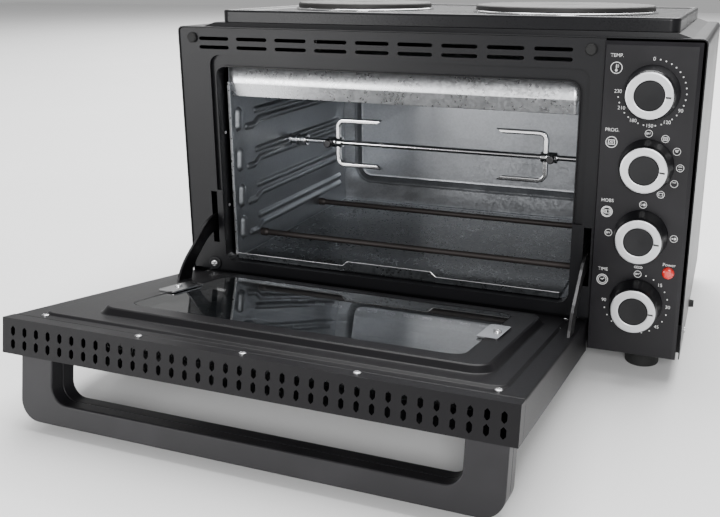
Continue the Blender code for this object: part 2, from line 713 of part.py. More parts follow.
def crumb_tray():
    """Loose tray on the cavity floor, with a lip and a finger tab at its front."""
    left, right = MOUTH_LEFT + MOUTH_RADIUS, MOUTH_RIGHT - MOUTH_RADIUS
    low = CAVITY_FLOOR + GAP

    def sheet(mesh):
        add_box(mesh, (left, TRAY_FRONT, low), (right, CAVITY_BACK - 0.010, low + SHEET))

    def lip(mesh):
        tab = TRAY_TAB_HALF
        outline = [(left, low), (right, low), (right, TRAY_LIP_Z), (MOUTH_MIDDLE + tab + 0.006, TRAY_LIP_Z),
                   (MOUTH_MIDDLE + tab, TRAY_TAB_Z), (MOUTH_MIDDLE - tab, TRAY_TAB_Z),
                   (MOUTH_MIDDLE - tab - 0.006, TRAY_LIP_Z), (left, TRAY_LIP_Z)]
        add_prism(mesh, outline, "y", TRAY_FRONT, TRAY_FRONT + SHEET)

    tray = add_object("crumb_tray", sheet, "aluminised_steel")
    join(tray, lip, "lip")


# ---------------------------------------------------------------- rotisserie
def rotisserie():
    wall = CAVITY_LEFT
    seat = wall + RUNNER_RISE + GAP
    far_seat = CAVITY_RIGHT - RUNNER_RISE - GAP
    socket_end = seat + SOCKET_LENGTH
    rod_start = seat + 0.004
    rod_end = CAVITY_RIGHT - 0.0028
    place = (SPIT_Y, SPIT_Z)
    axis_point = (0, SPIT_Y, SPIT_Z)

    def motor(mesh):
        half = 0.024
        add_prism(mesh, rounded_rectangle(SPIT_Y - half, SPIT_Y + half, SPIT_Z - half, SPIT_Z + half, 0.006, 3),
                  "x", 0.012, wall - SHEET - 0.001)

    def socket(mesh):
        profile = [(SPIT_RADIUS, wall - SHEET - 0.0006), (SPIT_RADIUS, seat),
                   (SOCKET_RADIUS, seat), (SOCKET_RADIUS, socket_end - 0.001),
                   (SOCKET_RADIUS - 0.001, socket_end)]
        add_turned(mesh, profile, "x", place)

    def socket_bore(mesh):
        half = SPIT_RADIUS + SPIT_CLEARANCE
        outline = circle(SPIT_Y, SPIT_Z, half, 16)
        add_prism(mesh, outline, "x", rod_start - 0.001, socket_end + 0.001)

    def rod(mesh):
        pin = far_seat - BEARING_LENGTH - 0.003
        profile = [(SPIT_PIN_RADIUS, rod_start), (SPIT_RADIUS, rod_start + 0.006), (SPIT_RADIUS, pin),
                   (SPIT_PIN_RADIUS, pin + 0.001), (SPIT_PIN_RADIUS, rod_end)]
        add_turned(mesh, profile, "x", place, 16)

    def bearing(mesh):
        add_turned(mesh, [(BEARING_RADIUS, far_seat - BEARING_LENGTH), (BEARING_RADIUS, far_seat)], "x", place, 16)

    def bearing_bore(mesh):
        radius = SPIT_PIN_RADIUS + SPIT_CLEARANCE
        add_prism(mesh, circle(SPIT_Y, SPIT_Z, radius, 16), "x", far_seat - 0.02, far_seat + 0.01)

    add_object("spit_motor", motor, "grey_plastic")
    cup = add_object("drive_socket", socket, "bright_steel", smooth=True, pivot=axis_point)
    cut(cup, socket_bore, "bore")
    add_object("spit_rod", rod, "bright_steel", smooth=True, pivot=axis_point)
    ring = add_object("spit_bearing", bearing, "bright_steel", smooth=True)
    cut(ring, bearing_bore, "bore")
    spit_fork("left", FORK_LEFT_X, 1)
    spit_fork("right", FORK_RIGHT_X, -1)


def spit_fork(name, back, way):
    """A bent strip with two tines, a hub on the rod and a thumbscrew; way is where tines point."""
    strip, half = FORK_STRIP, FORK_HALF
    radius = FORK_BEND
    tip = back + way * FORK_TINE

    def place(points):
        """Turn points drawn with the back at 0 and tines along +x to this fork."""
        return [(back + way * a, SPIT_Z + b) for a, b in points]

    def bend(mesh):
        quarter = math.pi / 2
        inner = radius - strip
        outer_line = ([(FORK_TINE, half)] + arc((radius, half - radius), radius, quarter, 2 * quarter, 5)
                      + arc((radius, radius - half), radius, 2 * quarter, 3 * quarter, 5)
                      + [(FORK_TINE, -half)])
        inner_line = ([(FORK_TINE, strip - half)]
                      + arc((radius, radius - half), inner, 3 * quarter, 2 * quarter, 5)
                      + arc((radius, half - radius), inner, 2 * quarter, quarter, 5)
                      + [(FORK_TINE, half - strip)])
        add_prism(mesh, place(outer_line + inner_line), "y", SPIT_Y - FORK_WIDTH / 2, SPIT_Y + FORK_WIDTH / 2)

    def hub(mesh):
        ends = sorted((back - way * HUB_LENGTH, back + way * strip * 1.5))
        add_turned(mesh, [(HUB_RADIUS, ends[0]), (HUB_RADIUS, ends[1])], "x", (SPIT_Y, SPIT_Z), 16)

    def bore(mesh):
        radius_out = SPIT_RADIUS + SPIT_CLEARANCE
        add_prism(mesh, circle(SPIT_Y, SPIT_Z, radius_out, 16), "x", back - 0.03, back + 0.03)

    def points(mesh):
        past = way * GAP
        for side in (1, -1):
            outer = SPIT_Z + side * (half + GAP)
            inner = SPIT_Z + side * (half - strip - GAP)
            outline = [(tip, outer), (tip + past, outer), (tip + past, inner), (tip - way * FORK_SLANT, inner)]
            add_prism(mesh, outline, "y", SPIT_Y - FORK_WIDTH, SPIT_Y + FORK_WIDTH)

    def screw(mesh):
        x = back - way * HUB_LENGTH / 2
        near = SPIT_Y - HUB_RADIUS - 0.0006
        profile = [(0.0018, near), (0.0018, near - 0.002), (THUMB_RADIUS, near - 0.003),
                   (THUMB_RADIUS, near - THUMB_LENGTH + 0.001), (THUMB_RADIUS * 0.8, near - THUMB_LENGTH)]
        add_turned(mesh, profile, "y", (x, SPIT_Z), 12)

    pivot = (back, SPIT_Y, SPIT_Z)
    fork = add_object("spit_fork_" + name, bend, "bright_steel", smooth=True, pivot=pivot)
    join(fork, hub, "hub")
    cut(fork, bore, "bore")
    cut(fork, points, "points")
    add_object("thumbscrew_" + name, screw, "bright_steel", smooth=True, pivot=pivot)


# ---------------------------------------------------------------- controls
def control_panel():
    low, high = GAP, CABINET_HEIGHT - PANEL_TOP_INSET
    face = -PANEL_STANDS_OUT

    def body(mesh):
        bevel = PANEL_CHAMFER
        full = rectangle(PANEL_LEFT, PANEL_RIGHT, low, high)
        front = rectangle(PANEL_LEFT + bevel * 0.3, PANEL_RIGHT - bevel, low + bevel * 0.3, high - bevel)
        loft(mesh, [at_axis(full, "y", PANEL_BACK), at_axis(full, "y", face + bevel * 0.6),
                    at_axis(front, "y", face)])

    def holes(mesh):
        for z in KNOB_HEIGHTS.values():
            add_prism(mesh, circle(KNOB_X, z, SHAFT_RADIUS + SHAFT_CLEARANCE, 16), "y",
                      face - SHEET, PANEL_BACK + SHEET)
        add_prism(mesh, circle(CABINET_WIDTH - LAMP_FROM_SIDE, LAMP_Z, LAMP_RADIUS * 0.8 + GAP, 16), "y",
                  face - SHEET, PANEL_BACK + SHEET)

    panel = add_object("control_panel", body, "black_plastic")
    cut(panel, holes, "holes")


def knobs():
    """Four turned knobs, each in one piece with its shaft, with a control behind it."""
    seat = -PANEL_STANDS_OUT - GAP
    control_sizes = {"temperature": ("thermostat", 0.020, 0.034), "program": ("program_switch", 0.019, 0.040),
                     "hob": ("hob_switch", 0.018, 0.040), "timer": ("clockwork_timer", 0.020, 0.030)}
    for name, z in KNOB_HEIGHTS.items():
        profile = [(SHAFT_RADIUS, SHAFT_END_Y), (SHAFT_RADIUS, seat), (KNOB_SKIRT_RADIUS, seat),
                   (KNOB_SKIRT_RADIUS - 0.0006, seat - 0.0015),
                   (KNOB_FACE_RADIUS + 0.0008, KNOB_FACE_Y + 0.002), (KNOB_FACE_RADIUS, KNOB_FACE_Y),
                   (KNOB_FACE_HOLLOW, KNOB_FACE_Y), (KNOB_FACE_HOLLOW - 0.0005, KNOB_FACE_Y + 0.0008)]
        add_object("knob_" + name, lambda mesh: add_turned(mesh, profile, "y", (KNOB_X, z), 40),
                   "black_plastic", smooth=True, pivot=(KNOB_X, 0, z))
        control, half, depth = control_sizes[name]
        front = SHAFT_END_Y + GAP
        outline = rounded_rectangle(KNOB_X - half, KNOB_X + half, z - half, z + half, 0.003, 2)
        add_object(control, lambda mesh: add_prism(mesh, outline, "y", front, front + depth), "grey_plastic")


def power_lamp():
    face = -PANEL_STANDS_OUT
    neck = LAMP_RADIUS * 0.8
    profile = [(neck, PANEL_BACK + 0.012), (neck, face - GAP), (LAMP_RADIUS, face - GAP),
               (LAMP_RADIUS, face - 0.0016), (LAMP_RADIUS * 0.75, face - 0.0034), (LAMP_RADIUS * 0.3, face - 0.0042)]
    place = (CABINET_WIDTH - LAMP_FROM_SIDE, LAMP_Z)
    add_object("power_lamp", lambda mesh: add_turned(mesh, profile, "y", place, 20), "red_lens", smooth=True)


# ---------------------------------------------------------------- hob
def hob_tray():
    """Pressed tray on the wrap's deck: raised rim, recessed top, a hole under each plate."""
    def body(mesh):
        add_prism(mesh, rounded_rectangle(HOB_LEFT, HOB_RIGHT, HOB_FRONT, HOB_BACK, HOB_CORNER), "z",
                  HOB_BOTTOM, HOB_TOP)

    def hollow(mesh):
        add_prism(mesh, rounded_rectangle(HOB_LEFT + SHEET, HOB_RIGHT - SHEET, HOB_FRONT + SHEET,
                                          HOB_BACK - SHEET, HOB_CORNER - SHEET), "z",
                  HOB_BOTTOM - SHEET, HOB_SURFACE - SHEET)

    def recess(mesh):
        add_prism(mesh, rounded_rectangle(HOB_LEFT + HOB_RIM, HOB_RIGHT - HOB_RIM, HOB_FRONT + HOB_RIM,
                                          HOB_BACK - HOB_RIM, HOB_CORNER - HOB_RIM), "z",
                  HOB_SURFACE, HOB_TOP + SHEET)

    def holes(mesh):
        for x, radius in PLATES.values():
            boss = radius - PLATE_BOSS_SHRINK + SHEET
            add_prism(mesh, circle(x, PLATE_Y, boss, 32), "z", HOB_SURFACE - 3 * SHEET, HOB_TOP + 2 * SHEET)

    tray = add_object("hob_tray", body, "black_enamel")
    cut(tray, hollow, "hollow")
    cut(tray, recess, "recess")
    cut(tray, holes, "holes")


def hotplates():
    """Cast discs, each on a bright spill ring in the tray."""
    top = HOB_TOP + PLATE_ABOVE_TRAY
    for name, (x, radius) in PLATES.items():
        seat = HOB_SURFACE + GAP
        boss = radius - PLATE_BOSS_SHRINK
        disc = [(boss, HOB_SURFACE - PLATE_BOSS_DEPTH), (boss, seat), (radius, seat),
                (radius, top - PLATE_EDGE), (radius - PLATE_EDGE * 0.3, top - PLATE_EDGE * 0.3),
                (radius - PLATE_EDGE, top)]
        add_object("hotplate_" + name, lambda mesh: add_turned(mesh, disc, "z", (x, PLATE_Y), FINE_STEPS),
                   "cast_iron", smooth=True)
        inner = radius + GAP
        ring_top = seat + RING_HEIGHT
        ring = [(inner + RING_WIDTH, seat), (inner + RING_WIDTH * 0.4, ring_top)]
        spill = add_object("spill_ring_" + name,
                           lambda mesh: add_turned(mesh, ring, "z", (x, PLATE_Y), FINE_STEPS),
                           "bright_steel", smooth=True)
        cut(spill, lambda mesh: add_prism(mesh, circle(x, PLATE_Y, inner, FINE_STEPS), "z",
                                          seat - SHEET, ring_top + SHEET), "bore")


# ---------------------------------------------------------------- door
def hinge_brackets():
    """Arms from the kick plate to the hinge line, each with a cross pin the door turns on."""
    for name, x in (("left", HINGE_LEFT_X), ("right", HINGE_RIGHT_X)):
        half = HINGE_ARM_WIDTH / 2

        def arm(mesh):
            eye = arc((DOOR_HINGE_Y, DOOR_HINGE_Z), HINGE_EYE_RADIUS, math.pi / 2, 3 * math.pi / 2, 8)
            wall = KICK_Y - GAP
            low, high = DOOR_HINGE_Z - HINGE_EYE_RADIUS, DOOR_HINGE_Z + HINGE_EYE_RADIUS
            add_prism(mesh, eye + [(wall, low), (wall, high)], "x", x - half, x + half)

        def pin(mesh):
            reach = HINGE_PIN_LENGTH / 2
            add_turned(mesh, [(HINGE_PIN_RADIUS, x - reach), (HINGE_PIN_RADIUS, x + reach)], "x",
                       (DOOR_HINGE_Y, DOOR_HINGE_Z), 12)

        bracket = add_object("hinge_bracket_" + name, arm, "bright_steel")
        join(bracket, pin, "pin")


def hinge_notches(mesh):
    """Room in the door for the hinge arms, from the open to the closed position."""
    reach = HINGE_EYE_RADIUS + HINGE_CLEARANCE
    half = HINGE_ARM_WIDTH / 2 + HINGE_CLEARANCE
    for x in (HINGE_LEFT_X, HINGE_RIGHT_X):
        add_box(mesh, (x - half, -reach, -DOOR_BELOW_AXIS - 0.01), (x + half, 0.05, reach))


def door_skin():
    """Outer pan: face, ends and hinge edge, open towards the cavity and the cap."""
    low, high = -DOOR_BELOW_AXIS, DOOR_ABOVE_AXIS - STRIP_DEPTH - GAP
    rim = DOOR_INNER_FACE - SHEET - GAP

    def body(mesh):
        add_box(mesh, (DOOR_LEFT, DOOR_OUTER_FACE, low), (DOOR_RIGHT, rim, high))

    def hollow(mesh):
        add_box(mesh, (DOOR_LEFT + SHEET, DOOR_OUTER_FACE + SHEET, low + SHEET),
                (DOOR_RIGHT - SHEET, rim + SHEET, high + SHEET))

    def window(mesh):
        middle = (DOOR_LEFT + DOOR_RIGHT) / 2
        top = DOOR_ABOVE_AXIS - WINDOW_FROM_EDGE
        outline = rounded_rectangle(middle - WINDOW_WIDTH / 2, middle + WINDOW_WIDTH / 2,
                                    top - WINDOW_LENGTH, top, WINDOW_RADIUS)
        add_prism(mesh, outline, "y", DOOR_OUTER_FACE - SHEET, DOOR_OUTER_FACE + 2 * SHEET)

    def heel_vents(mesh):
        half_width, half_height = HEEL_VENT_WIDTH / 2, HEEL_VENT_HEIGHT / 2
        y = DOOR_INNER_FACE - HEEL_VENT_DROP
        for column in range(HEEL_VENT_COUNT):
            x = DOOR_LEFT + HEEL_VENT_FIRST + column * HEEL_VENT_PITCH
            add_box(mesh, (x - half_width, y - half_height, low - SHEET),
                    (x + half_width, y + half_height, low + 2 * SHEET))

    skin = add_object("door_skin", body, "black_enamel", Door.empty)
    cut(skin, hollow, "hollow")
    cut(skin, window, "window")
    cut(skin, heel_vents, "heel_vents")
    cut(skin, hinge_notches, "notches")


def door_vent_cap():
    """Channel along the free edge with two rows of upright slots."""
    low, high = DOOR_ABOVE_AXIS - STRIP_DEPTH, DOOR_ABOVE_AXIS
    first = DOOR_LEFT + STRIP_END_MARGIN
    pitch = (DOOR_RIGHT - DOOR_LEFT - 2 * STRIP_END_MARGIN) / (STRIP_COLUMNS - 1)

    def body(mesh):
        add_box(mesh, (DOOR_LEFT, DOOR_OUTER_FACE, low), (DOOR_RIGHT, DOOR_INNER_FACE, high))

    def hollow(mesh):
        add_box(mesh, (DOOR_LEFT + SHEET, DOOR_OUTER_FACE + SHEET, low - SHEET),
                (DOOR_RIGHT - SHEET, DOOR_INNER_FACE - SHEET, high - SHEET))

    def slots(mesh):
        for drop in STRIP_ROW_DROPS:
            for column in range(STRIP_COLUMNS):
                outline = obround(first + column * pitch, DOOR_INNER_FACE - drop,
                                  STRIP_SLOT_LENGTH, STRIP_SLOT_WIDTH, True, 2)
                add_prism(mesh, outline, "z", high - 2 * SHEET, high + SHEET)

    cap = add_object("door_vent_cap", body, "black_enamel", Door.empty)
    cut(cap, hollow, "hollow")
    cut(cap, slots, "slots")


def door_inner_panel():
    """Pressed panel: a shallow step, the raised bezel, a rebated opening for the glass."""
    face, sheet_back = DOOR_INNER_FACE, DOOR_INNER_FACE - SHEET
    low, high = -DOOR_BELOW_AXIS, DOOR_ABOVE_AXIS - STRIP_DEPTH - GAP
    wall = 2 * SHEET

    def plate(mesh):
        add_box(mesh, (DOOR_LEFT, sheet_back, low), (DOOR_RIGHT, face, high))

    def step(mesh):
        side = STEP_SIDE_MARGIN
        top = DOOR_ABOVE_AXIS - STEP_FROM_EDGE
        bottom = low + 0.012
        wide = rounded_rectangle(DOOR_LEFT + side, DOOR_RIGHT - side, bottom, top, 0.012)
        narrow = rounded_rectangle(DOOR_LEFT + side + STEP_RISE, DOOR_RIGHT - side - STEP_RISE,
                                   bottom + STEP_RISE, top - STEP_RISE, 0.012)
        loft(mesh, [at_axis(wide, "y", face - SHEET / 2), at_axis(narrow, "y", face + STEP_RISE)])

    def bezel(mesh):
        slope = BEZEL_SLOPE
        wide = rounded_rectangle(BEZEL_LEFT, BEZEL_RIGHT, BEZEL_LOW, BEZEL_HIGH, 0.018)
        narrow = rounded_rectangle(BEZEL_LEFT + slope, BEZEL_RIGHT - slope, BEZEL_LOW + slope,
                                   BEZEL_HIGH - slope, 0.014)
        loft(mesh, [at_axis(wide, "y", face - SHEET / 2), at_axis(narrow, "y", BEZEL_TOP)])

    def under(mesh):
        slope = BEZEL_SLOPE + wall
        outline = rounded_rectangle(BEZEL_LEFT + slope, BEZEL_RIGHT - slope, BEZEL_LOW + slope,
                                    BEZEL_HIGH - slope, 0.012)
        ledge = GLASS_FACE - GLASS_THICKNESS - GAP - wall
        add_prism(mesh, outline, "y", sheet_back - SHEET, ledge)

    def opening(mesh):
        ledge = GLASS_LEDGE
        outline = rounded_rectangle(GLASS_LEFT + ledge, GLASS_RIGHT - ledge, GLASS_LOW + ledge,
                                    GLASS_HIGH - ledge, GLASS_RADIUS - ledge / 2)
        add_prism(mesh, outline, "y", sheet_back - SHEET, BEZEL_TOP + SHEET)

    def rebate(mesh):
        outline = rounded_rectangle(GLASS_LEFT - GAP, GLASS_RIGHT + GAP, GLASS_LOW - GAP,
                                    GLASS_HIGH + GAP, GLASS_RADIUS)
        add_prism(mesh, outline, "y", GLASS_FACE - GLASS_THICKNESS - GAP, BEZEL_TOP + SHEET)

    def stay_slots(mesh):
        for x in (STAY_LEFT_X, STAY_RIGHT_X):
            half = STAY_THICKNESS / 2 + STAY_CLEARANCE
            add_box(mesh, (x - half, sheet_back - SHEET, STAY_HEEL[0] - 2 * STAY_CLEARANCE),
                    (x + half, BEZEL_TOP, STAY_HEEL[1] + 2 * STAY_CLEARANCE))

    panel = add_object("door_inner_panel", plate, "black_enamel", Door.empty)
    join(panel, step, "step")
    join(panel, bezel, "bezel")
    cut(panel, under, "under")
    cut(panel, opening, "opening")
    cut(panel, rebate, "rebate")
    cut(panel, stay_slots, "stay_slots")
    cut(panel, hinge_notches, "notches")


def door_glasses():
    def inner(mesh):
        outline = rounded_rectangle(GLASS_LEFT, GLASS_RIGHT, GLASS_LOW, GLASS_HIGH, GLASS_RADIUS)
        add_prism(mesh, outline, "y", GLASS_FACE - GLASS_THICKNESS, GLASS_FACE)

    def outer(mesh):
        lap = OUTER_GLASS_LAP
        middle = (DOOR_LEFT + DOOR_RIGHT) / 2
        top = DOOR_ABOVE_AXIS - WINDOW_FROM_EDGE
        outline = rounded_rectangle(middle - WINDOW_WIDTH / 2 - lap, middle + WINDOW_WIDTH / 2 + lap,
                                    top - WINDOW_LENGTH - lap, top + lap, WINDOW_RADIUS)
        back = DOOR_OUTER_FACE + SHEET + GAP
        add_prism(mesh, outline, "y", back, back + GLASS_THICKNESS)

    add_object("inner_glass", inner, "dark_glass", Door.empty)
    add_object("outer_glass", outer, "dark_glass", Door.empty)


def glass_clips():
    """Spring plates screwed to the bezel that hold the inner glass down at each side."""
    middle = DOOR_ABOVE_AXIS - CLIP_FROM_EDGE
    low, high = middle - CLIP_LENGTH / 2, middle + CLIP_LENGTH / 2
    for name, edge, way in (("left", GLASS_LEFT, -1), ("right", GLASS_RIGHT, 1)):
        near, far = sorted((edge - way * CLIP_OVERLAP, edge + way * (CLIP_WIDTH - CLIP_OVERLAP)))
        outline = rounded_rectangle(near, far, low, high, 0.002, 2)
        add_object("glass_clip_" + name,
                   lambda mesh: add_prism(mesh, outline, "y", BEZEL_TOP + GAP, BEZEL_TOP + GAP + 0.0012),
                   "bright_steel", Door.empty)


def stay_edge(side):
    """One edge of a stay, inner (0) or outer (1), from its heel at the door to its tail."""
    points = []
    for i in range(15):
        share = i / 14
        angle = math.pi - STAY_FROM_ANGLE + (STAY_FROM_ANGLE - STAY_TO_ANGLE) * share
        if share < STAY_WAIST_SHARE:
            first, last, t = STAY_HEEL[side], STAY_WAIST[side], share / STAY_WAIST_SHARE
        else:
            first, last = STAY_WAIST[side], STAY_TAIL[side]
            t = (share - STAY_WAIST_SHARE) / (1 - STAY_WAIST_SHARE)
        radius = first + (last - first) * t * t * (3 - 2 * t)
        points.append((radius * math.cos(angle), radius * math.sin(angle)))
    return points


def door_stays():
    """Quadrant plates about the hinge line that run through the frame's slots."""
    for name, x in (("left", STAY_LEFT_X), ("right", STAY_RIGHT_X)):
        def quadrant(mesh):
            outline = stay_edge(1) + stay_edge(0)[::-1]
            add_prism(mesh, outline, "x", x - STAY_THICKNESS / 2, x + STAY_THICKNESS / 2)

        add_object("door_stay_" + name, quadrant, "black_steel", Door.empty)


def handle():
    """U-shaped grip in two moulded halves, on the outer face along the free edge."""
    left, right = DOOR_LEFT + HANDLE_SIDE_INSET, DOOR_RIGHT - HANDLE_RIGHT_INSET
    root = DOOR_OUTER_FACE - GAP
    low = DOOR_OUTER_FACE - HANDLE_DROP
    bar = low + HANDLE_BAR
    big, small = HANDLE_OUTER_RADIUS, HANDLE_INNER_RADIUS
    half = math.pi / 2
    outline = ([(left, root)] + arc((left + big, low + big), big, math.pi, 1.5 * math.pi, 6)
               + arc((right - big, low + big), big, -half, 0, 6) + [(right, root), (right - HANDLE_LEG, root)]
               + arc((right - HANDLE_LEG - small, bar + small), small, 0, -half, 5)
               + arc((left + HANDLE_LEG + small, bar + small), small, -half, -math.pi, 5)
               + [(left + HANDLE_LEG, root)])
    front = DOOR_ABOVE_AXIS - HANDLE_FROM_EDGE
    seam = front - HANDLE_DEPTH / 2
    add_object("handle_front_shell", lambda mesh: add_prism(mesh, outline, "z", seam + GAP / 2, front),
               "black_plastic", Door.empty)
    add_object("handle_rear_shell",
               lambda mesh: add_prism(mesh, outline, "z", front - HANDLE_DEPTH, seam - GAP / 2),
               "black_plastic", Door.empty)


def main():
    clear_scene()
    make_door_axes()
    outer_wrap()
    base_plate()
    rear_cover()
    cord_gland()
    front_frame()
    feet()
    door_buffers()
    side_spacers()
    cavity_shell()
    top_reflector()
    heating_rods()
    crumb_tray()
    rotisserie()
    control_panel()
    knobs()
    power_lamp()
    hob_tray()
    hotplates()
    hinge_brackets()
    door_skin()
    door_vent_cap()
    door_inner_panel()
    door_glasses()
    glass_clips()
    door_stays()
    handle()
    bpy.context.view_layer.update()


main()
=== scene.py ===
# %% [markdown]
# # A table-top rotisserie oven, in pieces
#
# The oven's frame, its joints and its plain solids are already made. This script gives
# each visible piece the form and the finish of the real thing: pressed sheet, cast
# plates, chromed wire, moulded plastic, printed dials. Everything new is a surface
# worked out with numpy and put at the place where the solid part has it.

# %% Load the frame and measure it
import json
import math

import bmesh
import bpy
import numpy as np
from mathutils import Matrix, Vector


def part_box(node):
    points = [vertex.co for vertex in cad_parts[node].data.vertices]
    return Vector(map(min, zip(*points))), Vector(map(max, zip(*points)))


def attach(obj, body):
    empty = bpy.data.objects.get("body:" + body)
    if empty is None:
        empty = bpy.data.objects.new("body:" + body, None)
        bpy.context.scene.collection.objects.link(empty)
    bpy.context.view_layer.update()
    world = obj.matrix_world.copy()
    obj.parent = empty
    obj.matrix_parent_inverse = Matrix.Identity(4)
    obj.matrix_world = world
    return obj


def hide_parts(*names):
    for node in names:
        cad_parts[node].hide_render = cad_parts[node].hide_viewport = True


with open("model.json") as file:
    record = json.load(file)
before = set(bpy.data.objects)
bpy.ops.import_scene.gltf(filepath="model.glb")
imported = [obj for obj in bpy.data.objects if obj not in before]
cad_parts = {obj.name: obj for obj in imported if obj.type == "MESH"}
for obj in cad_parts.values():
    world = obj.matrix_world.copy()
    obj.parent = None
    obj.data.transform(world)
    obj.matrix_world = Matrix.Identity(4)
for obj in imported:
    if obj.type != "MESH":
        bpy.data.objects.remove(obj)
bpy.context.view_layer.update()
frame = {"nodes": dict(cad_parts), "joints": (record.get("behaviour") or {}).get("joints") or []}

WRAP_LOW, WRAP_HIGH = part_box("outer_wrap")
CORNER = np.array((WRAP_LOW.x, WRAP_LOW.y, WRAP_LOW.z))
WIDTH = WRAP_HIGH.x - WRAP_LOW.x
DEPTH = WRAP_HIGH.y - WRAP_LOW.y
MM = 0.001
print("cabinet", round(WIDTH, 3), "wide,", round(DEPTH, 3), "deep; lower front corner at", CORNER.round(4))

# %% [markdown]
# ## Where things are
#
# Cabinet pieces are drawn from the cabinet's lower left front corner: x to the right,
# y to the back, z up. The door's pieces are drawn from its hinge line: x as before, y
# towards the inside of the door, z towards the free edge. Drawing the door upright and
# then turning it open is much simpler than drawing it tilted.

# %% Two sets of axes
HINGE = next(joint for joint in frame["joints"] if joint["name"] == "door_hinge")
OPEN = math.radians(HINGE["range_deg"][1])
HINGE_POINT = np.array((0.0, HINGE["pos_m"][1], HINGE["pos_m"][2]))


def on_cabinet(points):
    """Cabinet coordinates to world: add the lower left front corner."""
    return points + CORNER


def span(node):
    """Low and high corners of a solid piece, in cabinet coordinates."""
    low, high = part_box(node)
    return np.array(low) - CORNER, np.array(high) - CORNER


def on_door(points):
    """Door coordinates to world: turn by the open angle about x, then move to the hinge."""
    x, y, z = points[..., 0], points[..., 1], points[..., 2]
    turned = np.stack((x + CORNER[0], y * math.cos(OPEN) - z * math.sin(OPEN),
                       y * math.sin(OPEN) + z * math.cos(OPEN)), -1)
    return turned + HINGE_POINT


print("door stands open by", round(math.degrees(OPEN), 1), "degrees, hinge at", HINGE_POINT.round(4))

# %% [markdown]
# ## The camera
#
# A long-ish lens from a little above the hob and to the right of the oven, looking down
# into the cavity. Its shift only frames the picture.

# %% Camera
camera_data = bpy.data.cameras.new("Camera")
camera = bpy.data.objects.new("Camera", camera_data)
bpy.context.scene.collection.objects.link(camera)
YAW, PITCH, ROLL = 0.3579, -0.2793, 0.0025
camera.location = Vector(CORNER) + Vector((0.5455, -0.7841, 0.3390))
looking = Vector((-math.sin(YAW) * math.cos(PITCH), math.cos(YAW) * math.cos(PITCH), math.sin(PITCH)))
turn = looking.to_track_quat("-Z", "Y").to_matrix() @ Matrix.Rotation(ROLL, 3, "Z")
camera.rotation_euler = turn.to_euler()
camera_data.lens = 43.90
camera_data.sensor_width = 36.0
camera_data.shift_x = -0.0649
camera_data.shift_y = -0.0429
camera_data.clip_start = 0.01
bpy.context.scene.camera = camera
print("camera at", tuple(round(v, 3) for v in camera.location))

# %% [markdown]
# ## Writing finishes as sums
#
# A finish is a small formula: a colour plus some grain, a roughness times some wear.
# Blender builds such formulas from nodes. The class below lets them be written as sums:
# every operation on a value adds the Math node that does it.


# %% Shader values that can be added and multiplied
class Value:
    """One output of a shader node, with arithmetic."""

    def __init__(self, tree, socket):
        self.tree = tree
        self.socket = socket

    def node(self, kind, inputs, settings=None, output=0):
        """Add any node: settings first, then each input's value or link; returns an output."""
        node = self.tree.nodes.new(kind)
        for key, setting in (settings or {}).items():
            setattr(node, key, setting)
        for key, item in inputs.items():
            if isinstance(item, Value):
                self.tree.links.new(item.socket, node.inputs[key])
            else:
                node.inputs[key].default_value = item
        return Value(self.tree, node.outputs[output])

    def math(self, operation, *operands):
        """Add a Math node."""
        return self.node("ShaderNodeMath", dict(enumerate(operands)), {"operation": operation})

    def __add__(self, other):
        return self.math("ADD", self, other)

    def __sub__(self, other):
        return self.math("SUBTRACT", self, other)

    def __mul__(self, other):
        return self.math("MULTIPLY", self, other)

    __radd__ = __add__
    __rmul__ = __mul__

    def step(self, low, high):
        """0 below low, 1 above high, smooth between."""
        settings = {"interpolation_type": "SMOOTHSTEP"}
        return self.node("ShaderNodeMapRange", {0: self, 1: low, 2: high}, settings)

    def noise(self, scale, detail=2.0, stretch=None):
        """Noise over a vector value, about 0.5, with features 1/scale metres across."""
        where = self
        if stretch:
            where = self.node("ShaderNodeMapping", {0: self, 3: stretch})
        return self.node("ShaderNodeTexNoise", {"Vector": where, "Scale": scale, "Detail": detail})

    def between(self, first, second):
        """A colour from first to second as this value goes from 0 to 1."""
        inputs = {0: self, 6: (*first, 1.0), 7: (*second, 1.0)}
        return self.node("ShaderNodeMix", inputs, {"data_type": "RGBA"}, output=2)


class Finish:
    """A material with a Principled shader; constants are set on it, patterns are linked."""

    def __init__(self, name, colour, roughness, metallic=0.0, **constants):
        self.material = bpy.data.materials.new(name)
        self.material.use_nodes = True
        self.tree = self.material.node_tree
        self.shader = self.tree.nodes["Principled BSDF"]
        self.set("Base Color", (*colour, 1.0))
        self.set("Roughness", roughness)
        self.set("Metallic", metallic)
        for key, item in constants.items():
            self.set(key.replace("_", " "), item)
        place = self.tree.nodes.new("ShaderNodeTexCoord")
        self.place = Value(self.tree, place.outputs["Object"])

    def set(self, key, item):
        """Link a value to an input of the shader, or set a constant on it."""
        if isinstance(item, Value):
            self.tree.links.new(item.socket, self.shader.inputs[key])
        else:
            self.shader.inputs[key].default_value = item

    def bump(self, height, distance, strength=1.0):
        """Raise the surface by height times distance metres, for shading only."""
        inputs = {"Height": height, "Distance": distance, "Strength": strength}
        self.set("Normal", height.node("ShaderNodeBump", inputs))

    def axis(self, index):
        """One coordinate of the place, in metres."""
        return self.place.node("ShaderNodeSeparateXYZ", {0: self.place}, output=index)

    def radius(self, axis, centre):
        """Distance from a line along an axis through centre (a point in world coordinates)."""
        across = [i for i in range(3) if i != axis]
        first = self.axis(across[0]) - centre[across[0]]
        second = self.axis(across[1]) - centre[across[1]]
        return (first * first + second * second).math("SQRT", first * first + second * second)


print("finishes can now be written as formulas")

